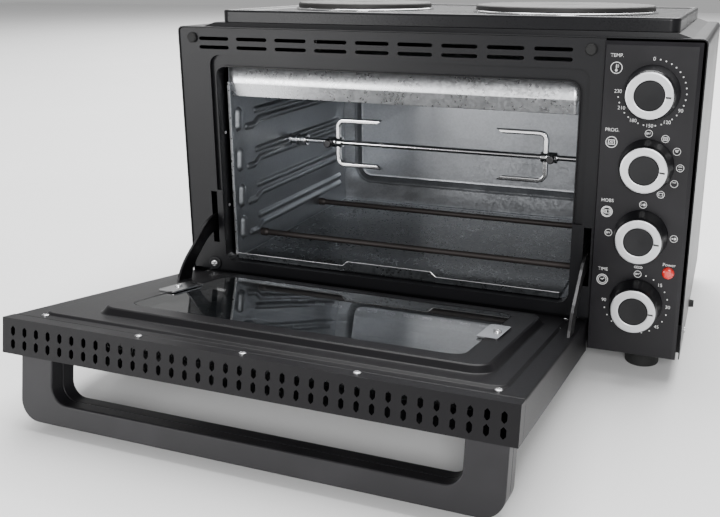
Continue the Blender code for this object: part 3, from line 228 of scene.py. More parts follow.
# %% [markdown]
# ## The finishes
#
# - **Powder coat**: cabinet, door and hob tray. Baked powder is never quite flat: it has
#   a fine orange-peel and a faintly uneven gloss.
# - **Moulded plastic**: panel, knobs, handle. Finer grain, a little softer.
# - **Aluminised sheet**: cavity. Hot-dipped steel shows small crystals, the spangle.
# - **Turned aluminium, chrome, oxidised tube, coated cast iron**: the small parts.


# %% Black finishes
def powder_coat(name, colour=(0.012, 0.012, 0.014), roughness=0.34, peel=0.00004, gloss=0.3):
    """Baked powder: fine orange peel, a cloudy gloss and a few specks of dust."""
    finish = Finish(name, colour, roughness, Specular_IOR_Level=gloss)
    peel_height = finish.place.noise(700, 2.0)
    cloud = finish.place.noise(9, 3.0)
    dust = finish.place.noise(2600, 1.0).step(0.70, 0.78)
    lighter = tuple(c * 1.9 + 0.002 for c in colour)
    finish.set("Base Color", (cloud * 0.35 + dust * 0.5).between(colour, lighter))
    finish.set("Roughness", cloud * 0.10 + peel_height * 0.06 + (roughness - 0.08))
    finish.bump(peel_height, peel)
    return finish.material


def moulded(name, colour=(0.010, 0.010, 0.012), roughness=0.36, grain=0.00003):
    """Moulded plastic or rubber: fine pores, and a gloss that handling has changed in places."""
    finish = Finish(name, colour, roughness, Specular_IOR_Level=0.3)
    pores = finish.place.noise(1500, 3.0)
    wear = finish.place.noise(25, 4.0)
    finish.set("Base Color", wear.step(0.35, 0.8).between(colour, tuple(c * 1.5 + 0.001 for c in colour)))
    finish.set("Roughness", roughness - 0.05 + wear * 0.10)
    finish.bump(pores, grain)
    return finish.material


CABINET_COAT = powder_coat("cabinet powder coat", (0.006, 0.006, 0.007), 0.36, 0.00004, 0.22)
DOOR_COAT = powder_coat("door powder coat", (0.0045, 0.0042, 0.005), 0.40, 0.00004, 0.16)
TRAY_ENAMEL = powder_coat("hob enamel", (0.005, 0.005, 0.006), 0.28, 0.00002, 0.2)
PANEL_PLASTIC = moulded("panel plastic", (0.005, 0.0045, 0.006), 0.32, 0.00001)
KNOB_PLASTIC = moulded("knob plastic", (0.004, 0.004, 0.005), 0.30, 0.00001)
HANDLE_PLASTIC = moulded("handle plastic", (0.010, 0.0095, 0.011), 0.42)
RUBBER = moulded("foot rubber", (0.011, 0.011, 0.011), 0.68, 0.00006)
print("black finishes made")


# %% Metals
def aluminised(name, colour=(0.46, 0.475, 0.50), roughness=0.34):
    """Sheet with spangle: small flat crystals, each a little darker or lighter."""
    finish = Finish(name, colour, roughness, 0.92)
    crystals = finish.place.node("ShaderNodeTexVoronoi", {"Vector": finish.place, "Scale": 480.0}, output=1)
    shade = crystals.node("ShaderNodeSeparateColor", {0: crystals}, output=0)
    smear = finish.place.noise(34, 3.0)
    speck = finish.place.noise(1900, 2.0)
    tone = shade * 0.35 + smear * 0.45 + speck * 0.2
    dark, light = tuple(c * 0.80 for c in colour), tuple(min(1.0, c * 1.22) for c in colour)
    finish.set("Base Color", tone.between(dark, light))
    finish.set("Roughness", roughness - 0.10 + shade * 0.12 + smear * 0.12)
    finish.bump(speck, 0.000012)
    return finish.material


def bright(name, colour=(0.74, 0.74, 0.75), roughness=0.14):
    """Bright metal: a smeared gloss with fine scratches that run along x."""
    finish = Finish(name, colour, roughness, 1.0)
    smear = finish.place.noise(120, 3.0)
    scratch = finish.place.noise(900, 2.0, (1.0, 12.0, 12.0))
    finish.set("Base Color", smear.between(tuple(c * 0.86 for c in colour), colour))
    finish.set("Roughness", roughness + smear * 0.10 + scratch * 0.04)
    finish.bump(scratch, 0.000006)
    return finish.material


def turned_aluminium(name, axis, centre):
    """Face turned on a lathe: very fine rings about the axis."""
    finish = Finish(name, (0.66, 0.665, 0.68), 0.34, 1.0, Anisotropic=0.5)
    radius = finish.radius(axis, centre)
    inputs = {"W": radius, "Scale": 9000.0, "Detail": 2.0}
    rings = radius.node("ShaderNodeTexNoise", inputs, {"noise_dimensions": "1D"})
    cloth = finish.place.noise(1500, 2.0)
    finish.set("Base Color", (rings * 0.6 + cloth * 0.4).between((0.50, 0.505, 0.52), (0.78, 0.785, 0.80)))
    finish.set("Roughness", 0.27 + rings * 0.14)
    finish.bump(rings, 0.00001)
    return finish.material


def oxidised_tube(name):
    """Heater tube: dull grey-brown scale in darker and lighter patches."""
    finish = Finish(name, (0.05, 0.04, 0.036), 0.5, 0.5)
    heat = finish.place.noise(60, 3.0, (0.25, 1.0, 1.0))
    scale = finish.place.noise(2400, 2.0)
    finish.set("Base Color", (heat * 0.7 + scale * 0.3).between((0.016, 0.014, 0.014), (0.055, 0.045, 0.042)))
    finish.set("Roughness", 0.38 + heat * 0.3)
    finish.bump(scale, 0.00003)
    return finish.material


def cast_plate(name, centre):
    """Coated cast iron, turned flat: rings from the tool under a grainy coating."""
    finish = Finish(name, (0.022, 0.021, 0.021), 0.55, 0.25)
    radius = finish.radius(2, centre)
    groove = (radius * 5200.0).math("SINE", radius * 5200.0)
    grain = finish.place.noise(1700, 3.0)
    stain = finish.place.noise(16, 4.0)
    patches = stain * 0.5 + grain * 0.5
    finish.set("Base Color", patches.between((0.013, 0.013, 0.013), (0.045, 0.043, 0.042)))
    finish.set("Roughness", 0.42 + grain * 0.16 + stain * 0.12)
    finish.bump(groove * 0.5 + grain, 0.00006)
    return finish.material


CAVITY_SHEET = aluminised("cavity sheet")
# side walls: a darker copy of the liner's aluminised sheet, a painted shade
CAVITY_WALL_SHADED = aluminised("cavity wall painted shade", (0.30, 0.315, 0.335), 0.38)
REFLECTOR_SHEET = aluminised("reflector sheet", (0.70, 0.71, 0.73), 0.30)
CHROME = bright("chrome", (0.80, 0.80, 0.81), 0.07)
ZINC = bright("zinc screw", (0.62, 0.62, 0.63), 0.20)
DARK_STEEL = bright("blackened steel", (0.065, 0.064, 0.066), 0.30)
# bright metal for the top of the crumb tray's lip, brighter than the tray's sheet: a painted highlight
LIP_EDGE_HIGHLIGHT = bright("lip edge painted highlight", (0.62, 0.62, 0.63), 0.24)
# crumb tray: aluminised sheet darkened to stand for the shade on its lip, a painted shade
TRAY_SHEET_PAINTED_SHADE = aluminised("crumb tray sheet painted shade", (0.10, 0.106, 0.113), 0.30)
HEATER = oxidised_tube("heater tube")
print("metals made")


# %% Glass, lens and ink
def door_glass(name, facing_alpha, grazing_alpha):
    """Toughened glass with a dark tint: clearer when looked at squarely, more of a mirror
    at a slant. Fingerprints break up its gloss a little."""
    finish = Finish(name, (0.008, 0.009, 0.010), 0.012, 0.0, Coat_Weight=1.0, Coat_Roughness=0.01,
                    Specular_IOR_Level=0.9)
    smear = finish.place.noise(30, 4.0)
    slant = finish.place.node("ShaderNodeLayerWeight", {"Blend": 0.5}, output=1)
    finish.set("Roughness", 0.010 + smear.step(0.5, 0.9) * 0.03)
    finish.set("Alpha", slant * (grazing_alpha - facing_alpha) + facing_alpha + smear * 0.03)
    return finish.material


def printed(name, colour=(0.86, 0.86, 0.86)):
    """Pad-printed ink, rubbed thin in places."""
    finish = Finish(name, colour, 0.45)
    rub = finish.place.noise(900, 3.0)
    finish.set("Base Color", rub.step(0.3, 0.75).between(tuple(c * 0.78 for c in colour), colour))
    finish.set("Roughness", 0.40 + rub * 0.15)
    return finish.material


def lens_red(name):
    """Glossy red lens with a faint cloud in it."""
    finish = Finish(name, (0.62, 0.012, 0.010), 0.10, 0.0, Coat_Weight=1.0, Coat_Roughness=0.04)
    cloud = finish.place.noise(700, 2.0)
    finish.set("Base Color", cloud.between((0.45, 0.006, 0.006), (0.80, 0.03, 0.02)))
    finish.set("Roughness", 0.10 + cloud * 0.08)
    return finish.material


INNER_GLASS = door_glass("inner door glass", 0.25, 0.72)
OUTER_GLASS = door_glass("outer door glass", 0.55, 0.85)
INK = printed("white dial print")
TICK_INK = printed("black pointer print", (0.02, 0.02, 0.02))
RED_LENS = lens_red("red lamp lens")
GREY_MOULDING = moulded("grey moulding", (0.20, 0.20, 0.21), 0.5)
print("glass, ink and lens made")

# %% [markdown]
# ## Surfaces from arrays
#
# A surface is a grid of points, rows by columns. Two helpers are enough for nearly
# everything: one turns a grid into a mesh, the other gives rounded-rectangle outlines
# that always have the same number of points, so that a stack of them lofts cleanly.


# %% Grid to mesh
def skin(name, grid, material, body, ring=True, ends=True, smooth=35):
    """Mesh of a (rows, columns, 3) grid: quads between neighbours.

    ring joins the last column to the first; ends closes the first and last rows with
    one face each. smooth is the angle in degrees above which an edge stays sharp.
    """
    rows, columns = grid.shape[:2]
    index = np.arange(rows * columns).reshape(rows, columns)
    following = np.roll(index, -1, 1) if ring else index[:, 1:]
    current = index if ring else index[:, :-1]
    quads = np.stack((current[:-1], following[:-1], following[1:], current[1:]), -1).reshape(-1, 4)
    faces = quads.tolist()
    if ends:
        faces.append(index[0, ::-1].tolist())
        faces.append(index[-1].tolist())
    mesh = bpy.data.meshes.new(name)
    mesh.from_pydata(grid.reshape(-1, 3), [], faces)
    return finished(name, mesh, material, body, smooth)


def finished(name, mesh, material, body, smooth=35):
    """Clean a mesh's normals, shade it, and let it ride on a body."""
    work = bmesh.new()
    work.from_mesh(mesh)
    bmesh.ops.remove_doubles(work, verts=work.verts, dist=1e-6)
    bmesh.ops.recalc_face_normals(work, faces=work.faces)
    work.to_mesh(mesh)
    work.free()
    mesh.shade_smooth()
    mesh.set_sharp_from_angle(angle=math.radians(smooth))
    mesh.materials.append(material)
    item = bpy.data.objects.new(name, mesh)
    bpy.context.scene.collection.objects.link(item)
    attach(item, body)
    return item


def pressed(name, grid, material, smooth=80):
    """Open sheet on the cabinet, not joined at its sides; it gets its thickness later."""
    return skin(name, on_cabinet(grid), material, "cabinet", ring=False, ends=False, smooth=smooth)


def stand_in(node):
    """Let a finer piece take the place of a plain solid, made of one material."""
    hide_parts(node)


def thicken(item, thickness, offset=-1.0):
    """Give a sheet its thickness, to one side of it (-1 or 1) or to both (0)."""
    solid = item.modifiers.new("thickness", "SOLIDIFY")
    solid.thickness = thickness
    solid.offset = offset
    return item


def soften(item, width, segments=2, angle=30):
    """Round the edges of a piece, as pressing, moulding or filing does."""
    bevel = item.modifiers.new("soft edges", "BEVEL")
    bevel.width = width
    bevel.segments = segments
    bevel.limit_method = "ANGLE"
    bevel.angle_limit = math.radians(angle)
    bevel.harden_normals = True
    return item


print("grid helper ready")


# %% Outlines
def rounded(a0, a1, b0, b1, radius, corner=10, side=10):
    """Rounded rectangle, anticlockwise from the lower right corner: quarter circles
    centre + r (cos t, sin t), joined by straight runs. Always 4 (corner + side) points."""
    t = np.linspace(0.0, math.pi / 2, corner)
    starts = np.array((-math.pi / 2, 0.0, math.pi / 2, math.pi))
    centres = np.array(((a1 - radius, b0 + radius), (a1 - radius, b1 - radius),
                        (a0 + radius, b1 - radius), (a0 + radius, b0 + radius)))
    angle = starts[:, None] + t[None, :]
    arcs = centres[:, None, :] + radius * np.stack((np.cos(angle), np.sin(angle)), -1)
    share = (np.arange(side) + 1.0) / (side + 1.0)
    last, first = arcs[:, -1], np.roll(arcs[:, 0], -1, 0)
    runs = last[:, None, :] + share[None, :, None] * (first - last)[:, None, :]
    return np.concatenate((arcs, runs), 1).reshape(-1, 2)


def circle(a, b, radius, steps=64):
    """Points round a circle in two dimensions: centre + r (cos t, sin t)."""
    t = np.linspace(0.0, 2 * math.pi, steps, endpoint=False)
    return np.stack((a + radius * np.cos(t), b + radius * np.sin(t)), -1)


def raised(outline, axis, level):
    """2-D outline to 3-D points at one level along an axis."""
    fixed = np.full(len(outline), level)
    order = {"x": (fixed, outline[:, 0], outline[:, 1]), "y": (outline[:, 0], fixed, outline[:, 1]),
             "z": (outline[:, 0], outline[:, 1], fixed)}
    return np.stack(order[axis], -1)


def turned(profile, axis, centre, steps=72):
    """Surface of revolution: each (radius, level) of the profile becomes a circle."""
    return np.stack([raised(circle(*centre, radius, steps), axis, level) for radius, level in profile])


def smooth_profile(points, rounds, steps=4):
    """Round each corner of a polyline: a quadratic curve that starts and ends rounds[i]
    before and after corner i, with a point close to each end so that flats shade flat."""
    points = np.array(points, float)
    result = [points[0]]
    for i in range(1, len(points) - 1):
        before, corner, after = points[i - 1], points[i], points[i + 1]
        reach_in = min(rounds[i - 1], 0.49 * np.linalg.norm(corner - before))
        reach_out = min(rounds[i - 1], 0.49 * np.linalg.norm(after - corner))
        start = corner + (before - corner) / np.linalg.norm(before - corner) * reach_in
        end = corner + (after - corner) / np.linalg.norm(after - corner) * reach_out
        t = np.linspace(0.0, 1.0, steps + 1)[:, None]
        result.append(start + (result[-1] - start) * min(0.25, 0.0004 / np.linalg.norm(result[-1] - start)))
        result.extend((1 - t) ** 2 * start + 2 * t * (1 - t) * corner + t ** 2 * end)
        result.append(end + (after - end) * min(0.25, 0.0004 / np.linalg.norm(after - end)))
    result.append(points[-1])
    return np.array(result)


def lathe(name, points, rounds, axis, centre, material, body, steps=64, corner=4, ends=True):
    """Turned piece: a profile of (radius, level) points with rounded corners, about an axis."""
    profile = smooth_profile(points, rounds, corner)
    return skin(name, on_cabinet(turned(profile, axis, centre, steps)), material, body, ends=ends)


print("a rounded outline has", len(rounded(0, 1, 0, 1, 0.1)), "points")


# %% Rods along a path
def frames_along(path):
    """Tangent and two cross directions at each point; the cross directions keep level."""
    tangent = np.gradient(path, axis=0)
    tangent /= np.linalg.norm(tangent, axis=1)[:, None]
    guide = np.array((0.0, 1.0, 0.0)) if abs(tangent[:, 1]).max() < 0.9 else np.array((0.0, 0.0, 1.0))
    side = np.cross(tangent, guide)
    side /= np.linalg.norm(side, axis=1)[:, None]
    return tangent, side, np.cross(side, tangent)


def swept(path, outline):
    """Carry a 2-D outline along a path: point = path + a * side + b * up."""
    tangent, side, up = frames_along(path)
    return (path[:, None, :] + outline[None, :, 0, None] * side[:, None, :]
            + outline[None, :, 1, None] * up[:, None, :])


print("sweep helper ready")

# %% [markdown]
# ## Cabinet: the plain pieces keep their solids
#
# Sheet that is only folded already has its true shape. It gets a small bend radius on
# its edges and its finish. Looking at any folded sheet, the thin bright line along each
# bend is what says that it is metal, so the bevels matter more than their size suggests.


# %% Finish for every solid that stays
def dress(node, material, edge=0.0, segments=2):
    """Give a solid that stays its finish, and a small bend radius on its edges."""
    item = frame["nodes"][node]
    item.data.materials.clear()
    item.data.materials.append(material)
    if edge:
        soften(item, edge, segments)
    return item


dress("outer_wrap", CABINET_COAT, 0.0006)
dress("base_plate", CABINET_COAT, 0.0003)
dress("rear_cover", CABINET_COAT, 0.0003, 1)
dress("front_frame", CABINET_COAT, 0.0004)
dress("control_panel", PANEL_PLASTIC, 0.0005)
dress("door_skin", DOOR_COAT, 0.0004)
dress("door_vent_cap", DOOR_COAT, 0.0003)
for side in ("left", "right"):
    dress("door_stay_" + side, DARK_STEEL, 0.0003)
    dress("hinge_bracket_" + side, ZINC, 0.0003)
    dress("door_buffer_" + side, RUBBER, 0.0004)
    dress("side_spacer_" + side, RUBBER, 0.0004)
    dress("glass_clip_" + side, CHROME, 0.0003)
for node in ("thermostat", "program_switch", "hob_switch", "clockwork_timer", "spit_motor"):
    dress(node, GREY_MOULDING, 0.001)
dress("inner_glass", INNER_GLASS, 0.0006)
dress("outer_glass", OUTER_GLASS, 0.0006)
dress("cord_gland", RUBBER, 0.0005)
dress("cavity_top", CAVITY_SHEET)
dress("cavity_floor", CAVITY_SHEET)
print("solids dressed")

# %% [markdown]
# ## The hob
#
# The tray is one pressing: a skirt, a rolled rim and a shallow floor. A stack of rounded
# rectangles follows that section from the skirt's foot, over the rim, to the middle.
# Each plate is a cast disc turned flat, with a small hollow at its centre, sitting on a
# bright spun ring that catches spills.

# %% Hob tray
tray_low, tray_high = span("hob_tray")
section = smooth_profile([(0.0, 0.0), (0.0, 0.0118), (0.0042, 0.0118), (0.0062, 0.0093), (0.030, 0.0093)],
                         [0.0022, 0.0012, 0.002])
rings = []
for inset, rise in section:
    outline = rounded(tray_low[0] + inset, tray_high[0] - inset, tray_low[1] + inset, tray_high[1] - inset,
                      max(0.009 - inset * 0.6, 0.003), 12, 14)
    rings.append(raised(outline, "z", tray_low[2] + rise))
hob_tray = skin("hob_tray_pressing", on_cabinet(np.array(rings)), TRAY_ENAMEL, "cabinet")
stand_in("hob_tray")
print("tray pressing:", len(hob_tray.data.polygons), "faces")

# %% Cooking plates and spill rings
for side in ("left", "right"):
    low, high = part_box("hotplate_" + side)
    centre = (np.array(low) + np.array(high)) / 2 - CORNER
    radius = (high.x - low.x) / 2
    top = high.z - CORNER[2]
    ring_low, ring_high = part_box("spill_ring_" + side)
    seat = ring_low.z - CORNER[2]
    finish = cast_plate("cast plate " + side, centre + CORNER)
    points = [(0.0004, seat), (radius - 0.0005, seat), (radius, seat + 0.002), (radius, top - 0.0012),
              (radius - 0.0022, top), (radius * 0.30, top - 0.0001), (radius * 0.27, top - 0.0010),
              (0.0004, top - 0.0012)]
    plate = lathe("cooking_plate_" + side, points, [0.0004, 0.0006, 0.0016, 0.0016, 0.0008, 0.0008],
                  "z", centre[:2], finish, "cabinet", 160)
    stand_in("hotplate_" + side)
    outer = (ring_high.x - ring_low.x) / 2
    points = [(radius + 0.0005, seat), (outer, seat), (outer, seat + 0.0004), (outer - 0.0008, seat + 0.0016),
              (radius + 0.0007, seat + 0.0019), (radius + 0.0005, seat)]
    ring = lathe("spun_ring_" + side, points, [0.0001, 0.0003, 0.0006, 0.0003],
                 "z", centre[:2], CHROME, "cabinet", 160, 3, ends=False)
    stand_in("spill_ring_" + side)
    print("plate", side, "radius", round(radius / MM, 1), "mm")

# %% [markdown]
# ## The cavity
#
# The liner is thin aluminised sheet. Its side walls are pressed with runners for the
# shelf: long round-backed ribs whose front ends turn down. Its back has a raised field.
# A pressing like that is a height over a flat sheet, so the walls are height fields:
# the height of a rib depends only on the distance to the line it follows.


# %% Heights of ribs and raised fields
def ramp(value, low, high):
    """0 below low, 1 above high: 3 t^2 - 2 t^3 between."""
    t = np.clip((value - low) / (high - low), 0.0, 1.0)
    return t * t * (3.0 - 2.0 * t)


def distance_to_segment(a, b, start, end):
    """Distance from each point (a, b) to a straight segment."""
    along = np.array(end, float) - np.array(start, float)
    t = np.clip(((a - start[0]) * along[0] + (b - start[1]) * along[1]) / (along @ along), 0.0, 1.0)
    return np.hypot(a - start[0] - t * along[0], b - start[1] - t * along[1])


def inside_rounded(a, b, a0, a1, b0, b1, radius):
    """Signed distance to a rounded rectangle, positive inside."""
    da = np.abs(a - (a0 + a1) / 2) - ((a1 - a0) / 2 - radius)
    db = np.abs(b - (b0 + b1) / 2) - ((b1 - b0) / 2 - radius)
    outside = np.hypot(np.maximum(da, 0.0), np.maximum(db, 0.0))
    return radius - outside - np.minimum(np.maximum(da, db), 0.0)


print("height helpers ready")

# %% Side walls
RUNNERS = (0.070, 0.106, 0.146, 0.190)
left_low, left_high = span("cavity_left")
right_low, _ = span("cavity_right")
RIB = 0.004
WALL_LEFT = left_high[0] - RIB
WALL_RIGHT = right_low[0] + RIB
FLOOR, CEILING = left_low[2] + 0.001, left_high[2] - 0.001
FRONT, BACK = left_low[1], left_high[1] - 0.001


def wall_heights(y, z, pads):
    """Runners: a rib above and below each level, joined by an S at the front, and a pad.
    Height falls smoothly with the distance from the line that each of them follows."""
    height = np.zeros_like(y)
    for level in RUNNERS:
        upper = distance_to_segment(y, z, (0.066, level + 0.0062), (0.283, level + 0.0062))
        lower = distance_to_segment(y, z, (0.072, level - 0.0042), (0.283, level - 0.0042))
        rise = distance_to_segment(y, z, (0.060, level - 0.0100), (0.072, level - 0.0042))
        foot = distance_to_segment(y, z, (0.046, level - 0.0095), (0.060, level - 0.0100))
        for line in (upper, lower, rise, foot):
            height = np.maximum(height, 0.62 - 0.62 * ramp(line, 0.0004, 0.0042))
        if pads:
            pad = distance_to_segment(y, z, (0.0292, level - 0.0060), (0.0305, level + 0.0075))
            height = np.maximum(height, 1.0 - ramp(pad, 0.0022, 0.0066))
    return height * RIB


y, z = np.meshgrid(np.linspace(FRONT, BACK, 330), np.linspace(FLOOR, CEILING, 250))
# the side walls use the darker copy of the liner's sheet: painted shade
for name, wall, way in (("cavity_left", WALL_LEFT, 1), ("cavity_right", WALL_RIGHT, -1)):
    sheet = np.stack((wall + way * wall_heights(y, z, name == "cavity_left"), y, z), -1)
    piece = pressed(name + "_pressing", sheet, CAVITY_WALL_SHADED)
    thicken(piece, 0.0008)
    stand_in(name)
print("side walls pressed with", len(RUNNERS), "runners each")

# %% Back wall, with its raised field
back_x, back_z = np.meshgrid(np.linspace(WALL_LEFT, WALL_RIGHT, 420), np.linspace(FLOOR, CEILING, 250))
field = inside_rounded(back_x, back_z, 0.0700, WALL_RIGHT + 0.06, 0.0715, 0.300, 0.018)
depth = 0.0032 * np.clip((field + 0.0048) / 0.0096, 0.0, 1.0)
for fold in (-0.0048, 0.0048):
    depth += 0.0005 * (1.0 - ramp(np.abs(field - fold), 0.0002, 0.0016))
sheet = np.stack((back_x, BACK - depth, back_z), -1)
back_wall = pressed("cavity_back_pressing", sheet, CAVITY_SHEET)
thicken(back_wall, 0.0008, 1.0)
stand_in("cavity_back")

# %% Edge of the liner beside the mouth, drawn in the brighter reflector sheet as a painted highlight
edge = rounded(WALL_LEFT - 0.0018, WALL_LEFT + 0.0004, 0.0425, 0.232, 0.0008, 5, 30)
rings = [raised(edge, "y", FRONT - 0.0006), raised(edge, "y", FRONT + 0.0002)]
# a thin strip on the left edge of the liner only, in bright sheet: a painted highlight
liner_edge_highlight = skin("liner_edge_highlight", on_cabinet(np.array(rings)), REFLECTOR_SHEET, "cabinet")
print("back wall and liner edge made")

# %% Reflector over the mouth
reflector_low, reflector_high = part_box("top_reflector")
reflect_top = reflector_high.z - CORNER[2]
reflect_front = reflector_low.y - CORNER[1]
reflect_foot = reflect_top - 0.0336
section = smooth_profile([(reflect_front, reflect_top), (reflect_front, reflect_top - 0.0196),
                          (reflect_front + 0.005, reflect_foot), (reflect_front + 0.044, reflect_foot)],
                         [0.0006, 0.0006], 4)
ends_x = np.linspace(WALL_LEFT + 0.0006, WALL_RIGHT - 0.0006, 60)
sheet = np.stack(np.broadcast_arrays(ends_x[None, :], section[:, None, 0], section[:, None, 1]), -1)
reflector = pressed("reflector_sheet", sheet, REFLECTOR_SHEET, 25)
thicken(reflector, 0.0008)
stand_in("top_reflector")

# %% Heating rods with their thicker ends
ROD_RADIUS, ROD_NECK, ROD_END = 0.0033, 0.0040, 0.0046
for level in ("lower", "upper"):
    for row in ("front", "rear"):
        node = "heating_rod_" + level + "_" + row
        low, high = span(node)
        centre = ((low + high) / 2)[1:]
        start, stop = low[0], high[0]
        points = [(0.0005, start), (ROD_END, start), (ROD_END, start + 0.006), (ROD_NECK, start + 0.0075),
                  (ROD_RADIUS, start + 0.009), (ROD_RADIUS, stop - 0.009), (ROD_NECK, stop - 0.0075),
                  (ROD_END, stop - 0.006), (ROD_END, stop), (0.0005, stop)]
        rod = lathe(node + "_tube", points, [0.0006] * 8, "x", centre, HEATER, "cabinet", 28, 3)
        stand_in(node)
print("reflector and four heating rods made")

# %% [markdown]
# ## Crumb tray
#
# A loose tray lies on the cavity floor. Its front is folded up into a lip, and the
# middle of the lip stands higher, as a tab for the fingers.

# %% Crumb tray
tray_low, tray_high = span("crumb_tray")
mid_x = (tray_low[0] + tray_high[0]) / 2
across = np.linspace(tray_low[0], tray_high[0], 240)
TAB_INNER, TAB_OUTER = 0.045, 0.052
tab = ramp(across, mid_x - TAB_OUTER, mid_x - TAB_INNER) - ramp(across, mid_x + TAB_INNER, mid_x + TAB_OUTER)
lip_top = 0.0475 + 0.005 * tab
section = np.array([(0.0, 1.0), (0.0, 0.9), (0.0, 0.2), (0.0, 0.1), (0.0008, 0.0), (0.002, 0.0),
                    (0.020, 0.0), (tray_high[1] - tray_low[1], 0.0)])
depth_y = tray_low[1] + section[:, 0]
height = tray_low[2] + section[:, 1][:, None] * (lip_top - tray_low[2])[None, :]
sheet = np.stack(np.broadcast_arrays(across[None, :], np.minimum(depth_y, tray_high[1])[:, None], height), -1)
# the tray's sheet is drawn dark as a painted shade for the shadow on the lip
crumb_tray = pressed("crumb_tray_sheet_painted_shade", sheet, TRAY_SHEET_PAINTED_SHADE, 40)
thicken(crumb_tray, 0.0007, 1.0)
stand_in("crumb_tray")
# a thin bright cord along the top of the lip: a painted highlight
lip = np.stack((across, np.full_like(across, tray_low[1] + 0.0002), lip_top - 0.0004), -1)
lip_highlight = skin("crumb_tray_edge_highlight", on_cabinet(swept(lip, circle(0.0, 0.0, 0.0005, 8))), LIP_EDGE_HIGHLIGHT, "cabinet")
print("crumb tray folded")

# %% [markdown]
# ## The spit
#
# A chromed rod runs from the drive socket on the left to a bearing on the right. Two
# forks slide on it. A fork is flat bar bent to a U and cut to slanted points, with a hub
# and a thumbscrew. The bar is swept: a small rounded rectangle carried round the bends.

# %% Rod, socket and bearing
spit_low, spit_high = span("spit_rod")
AXIS = ((spit_low + spit_high) / 2)[1:]
start, stop = spit_low[0], spit_high[0]
points = [(0.0003, start), (0.0018, start + 0.001), (0.0030, start + 0.006), (0.0030, stop - 0.0165),
          (0.0018, stop - 0.0150), (0.0018, stop - 0.001), (0.0003, stop)]
rod = lathe("spit_rod_chromed", points, [0.001, 0.002, 0.001, 0.001, 0.0006], "x", AXIS, CHROME, "spit", 32)
stand_in("spit_rod")
socket_low, socket_high = span("drive_socket")
seat, mouth = socket_high[0] - 0.023, socket_high[0]
points = [(0.0030, socket_low[0]), (0.0030, seat), (0.0066, seat), (0.0068, seat + 0.003),
          (0.0050, seat + 0.004), (0.0050, seat + 0.008), (0.0068, seat + 0.009), (0.0068, seat + 0.012),
          (0.0056, seat + 0.013), (0.0056, seat + 0.016), (0.0068, seat + 0.017),
          (0.0068, mouth - 0.001), (0.0060, mouth), (0.0037, mouth), (0.0037, seat + 0.006)]
socket = lathe("drive_socket_turned", points, [0.0004] * 13, "x", AXIS, CHROME, "spit", 48, 3)
stand_in("drive_socket")
dress("spit_bearing", CHROME, 0.0004)
print("rod, socket and bearing made")


# %% Forks and thumbscrews
def fork_path(back, way, half, reach, bend):
    """U-shaped centre line in the x-z plane: tine, quarter bend, back, quarter bend, tine."""
    t = np.linspace(0.0, math.pi / 2, 10)
    upper = np.linspace(reach, bend, 24)
    top = np.stack((upper, np.full_like(upper, half)), -1)
    corner_top = np.stack((bend - bend * np.sin(t), half - bend + bend * np.cos(t)), -1)[1:]
    corner_low = np.stack((bend - bend * np.cos(t), -half + bend - bend * np.sin(t)), -1)
    low = np.stack((upper[::-1], np.full_like(upper, -half)), -1)[1:]
    flat = np.concatenate((top, corner_top, corner_low, low))
    return np.stack((back + way * flat[:, 0], np.full(len(flat), AXIS[0]), AXIS[1] + flat[:, 1]), -1)


KNURL_STEPS = 96
for side, way in (("left", 1), ("right", -1)):
    node, body = "spit_fork_" + side, "fork_" + side
    low, high = span(node)
    back = low[0] + 0.010 if way > 0 else high[0] - 0.010
    tip_reach = (high[0] - low[0]) - 0.010
    strip = rounded(-0.0033, 0.0033, -0.0026, 0.0026, 0.0012, 5, 3)
    path = fork_path(back + way * 0.0026, way, 0.0259, tip_reach - 0.0026, 0.0079)
    bar = swept(path, strip[:, ::-1])
    inwards = (0.0285 - np.abs(bar[..., 2] - AXIS[1])) / 0.0052
    from_tip = np.minimum(np.arange(len(path)), np.arange(len(path))[::-1])
    near_tip = np.clip(1.0 - from_tip / 5.0, 0.0, 1.0)[:, None]
    bar[..., 0] -= way * near_tip * 0.0072 * np.clip(inwards, 0.0, 1.0)
    fork = skin(node + "_bar", on_cabinet(bar), CHROME, body, smooth=40)
    stand_in(node)
    start, end = back - way * 0.010, back + way * 0.0078
    points = [(0.0037, start), (0.0058, start), (0.0058, back - way * 0.001), (0.0052, back),
              (0.0058, back + way * 0.001), (0.0058, end), (0.0037, end), (0.0037, start)]
    hub = lathe(node + "_hub", points, [0.0005] * 6, "x", AXIS, CHROME, body, 40, 3, ends=False)
    screw_low, screw_high = span("thumbscrew_" + side)
    centre = ((screw_low + screw_high) / 2)[[0, 2]]
    base = screw_high[1]
    points = [(0.0004, base), (0.0018, base), (0.0018, base - 0.0022), (0.0044, base - 0.0030),
              (0.0045, base - 0.009), (0.0038, base - 0.010), (0.0004, base - 0.010)]
    profile = smooth_profile(points, [0.0002, 0.0004, 0.0006, 0.0006, 0.0006], 3)
    knurl = turned(profile, "y", centre, KNURL_STEPS)
    grooves = (np.arange(KNURL_STEPS) // 4) % 2
    swell = 1.0 - 0.05 * grooves[None, :] * (profile[:, 0] > 0.004)[:, None]
    for column, middle in ((0, centre[0]), (2, centre[1])):
        knurl[..., column] = middle + (knurl[..., column] - middle) * swell
    screw = skin("thumbscrew_" + side + "_knurled", on_cabinet(knurl), DARK_STEEL, body)
    stand_in("thumbscrew_" + side)
    print("fork", side, "reaches", round(tip_reach / MM), "mm")

# %% [markdown]
# ## Knobs
#
# Each knob is a black cone with a turned aluminium ring let into its face. The pointer
# is a black tick printed across the ring. Ring and tick are pieces of their own, so the
# ring can have its own finish, turned about that knob's axis.

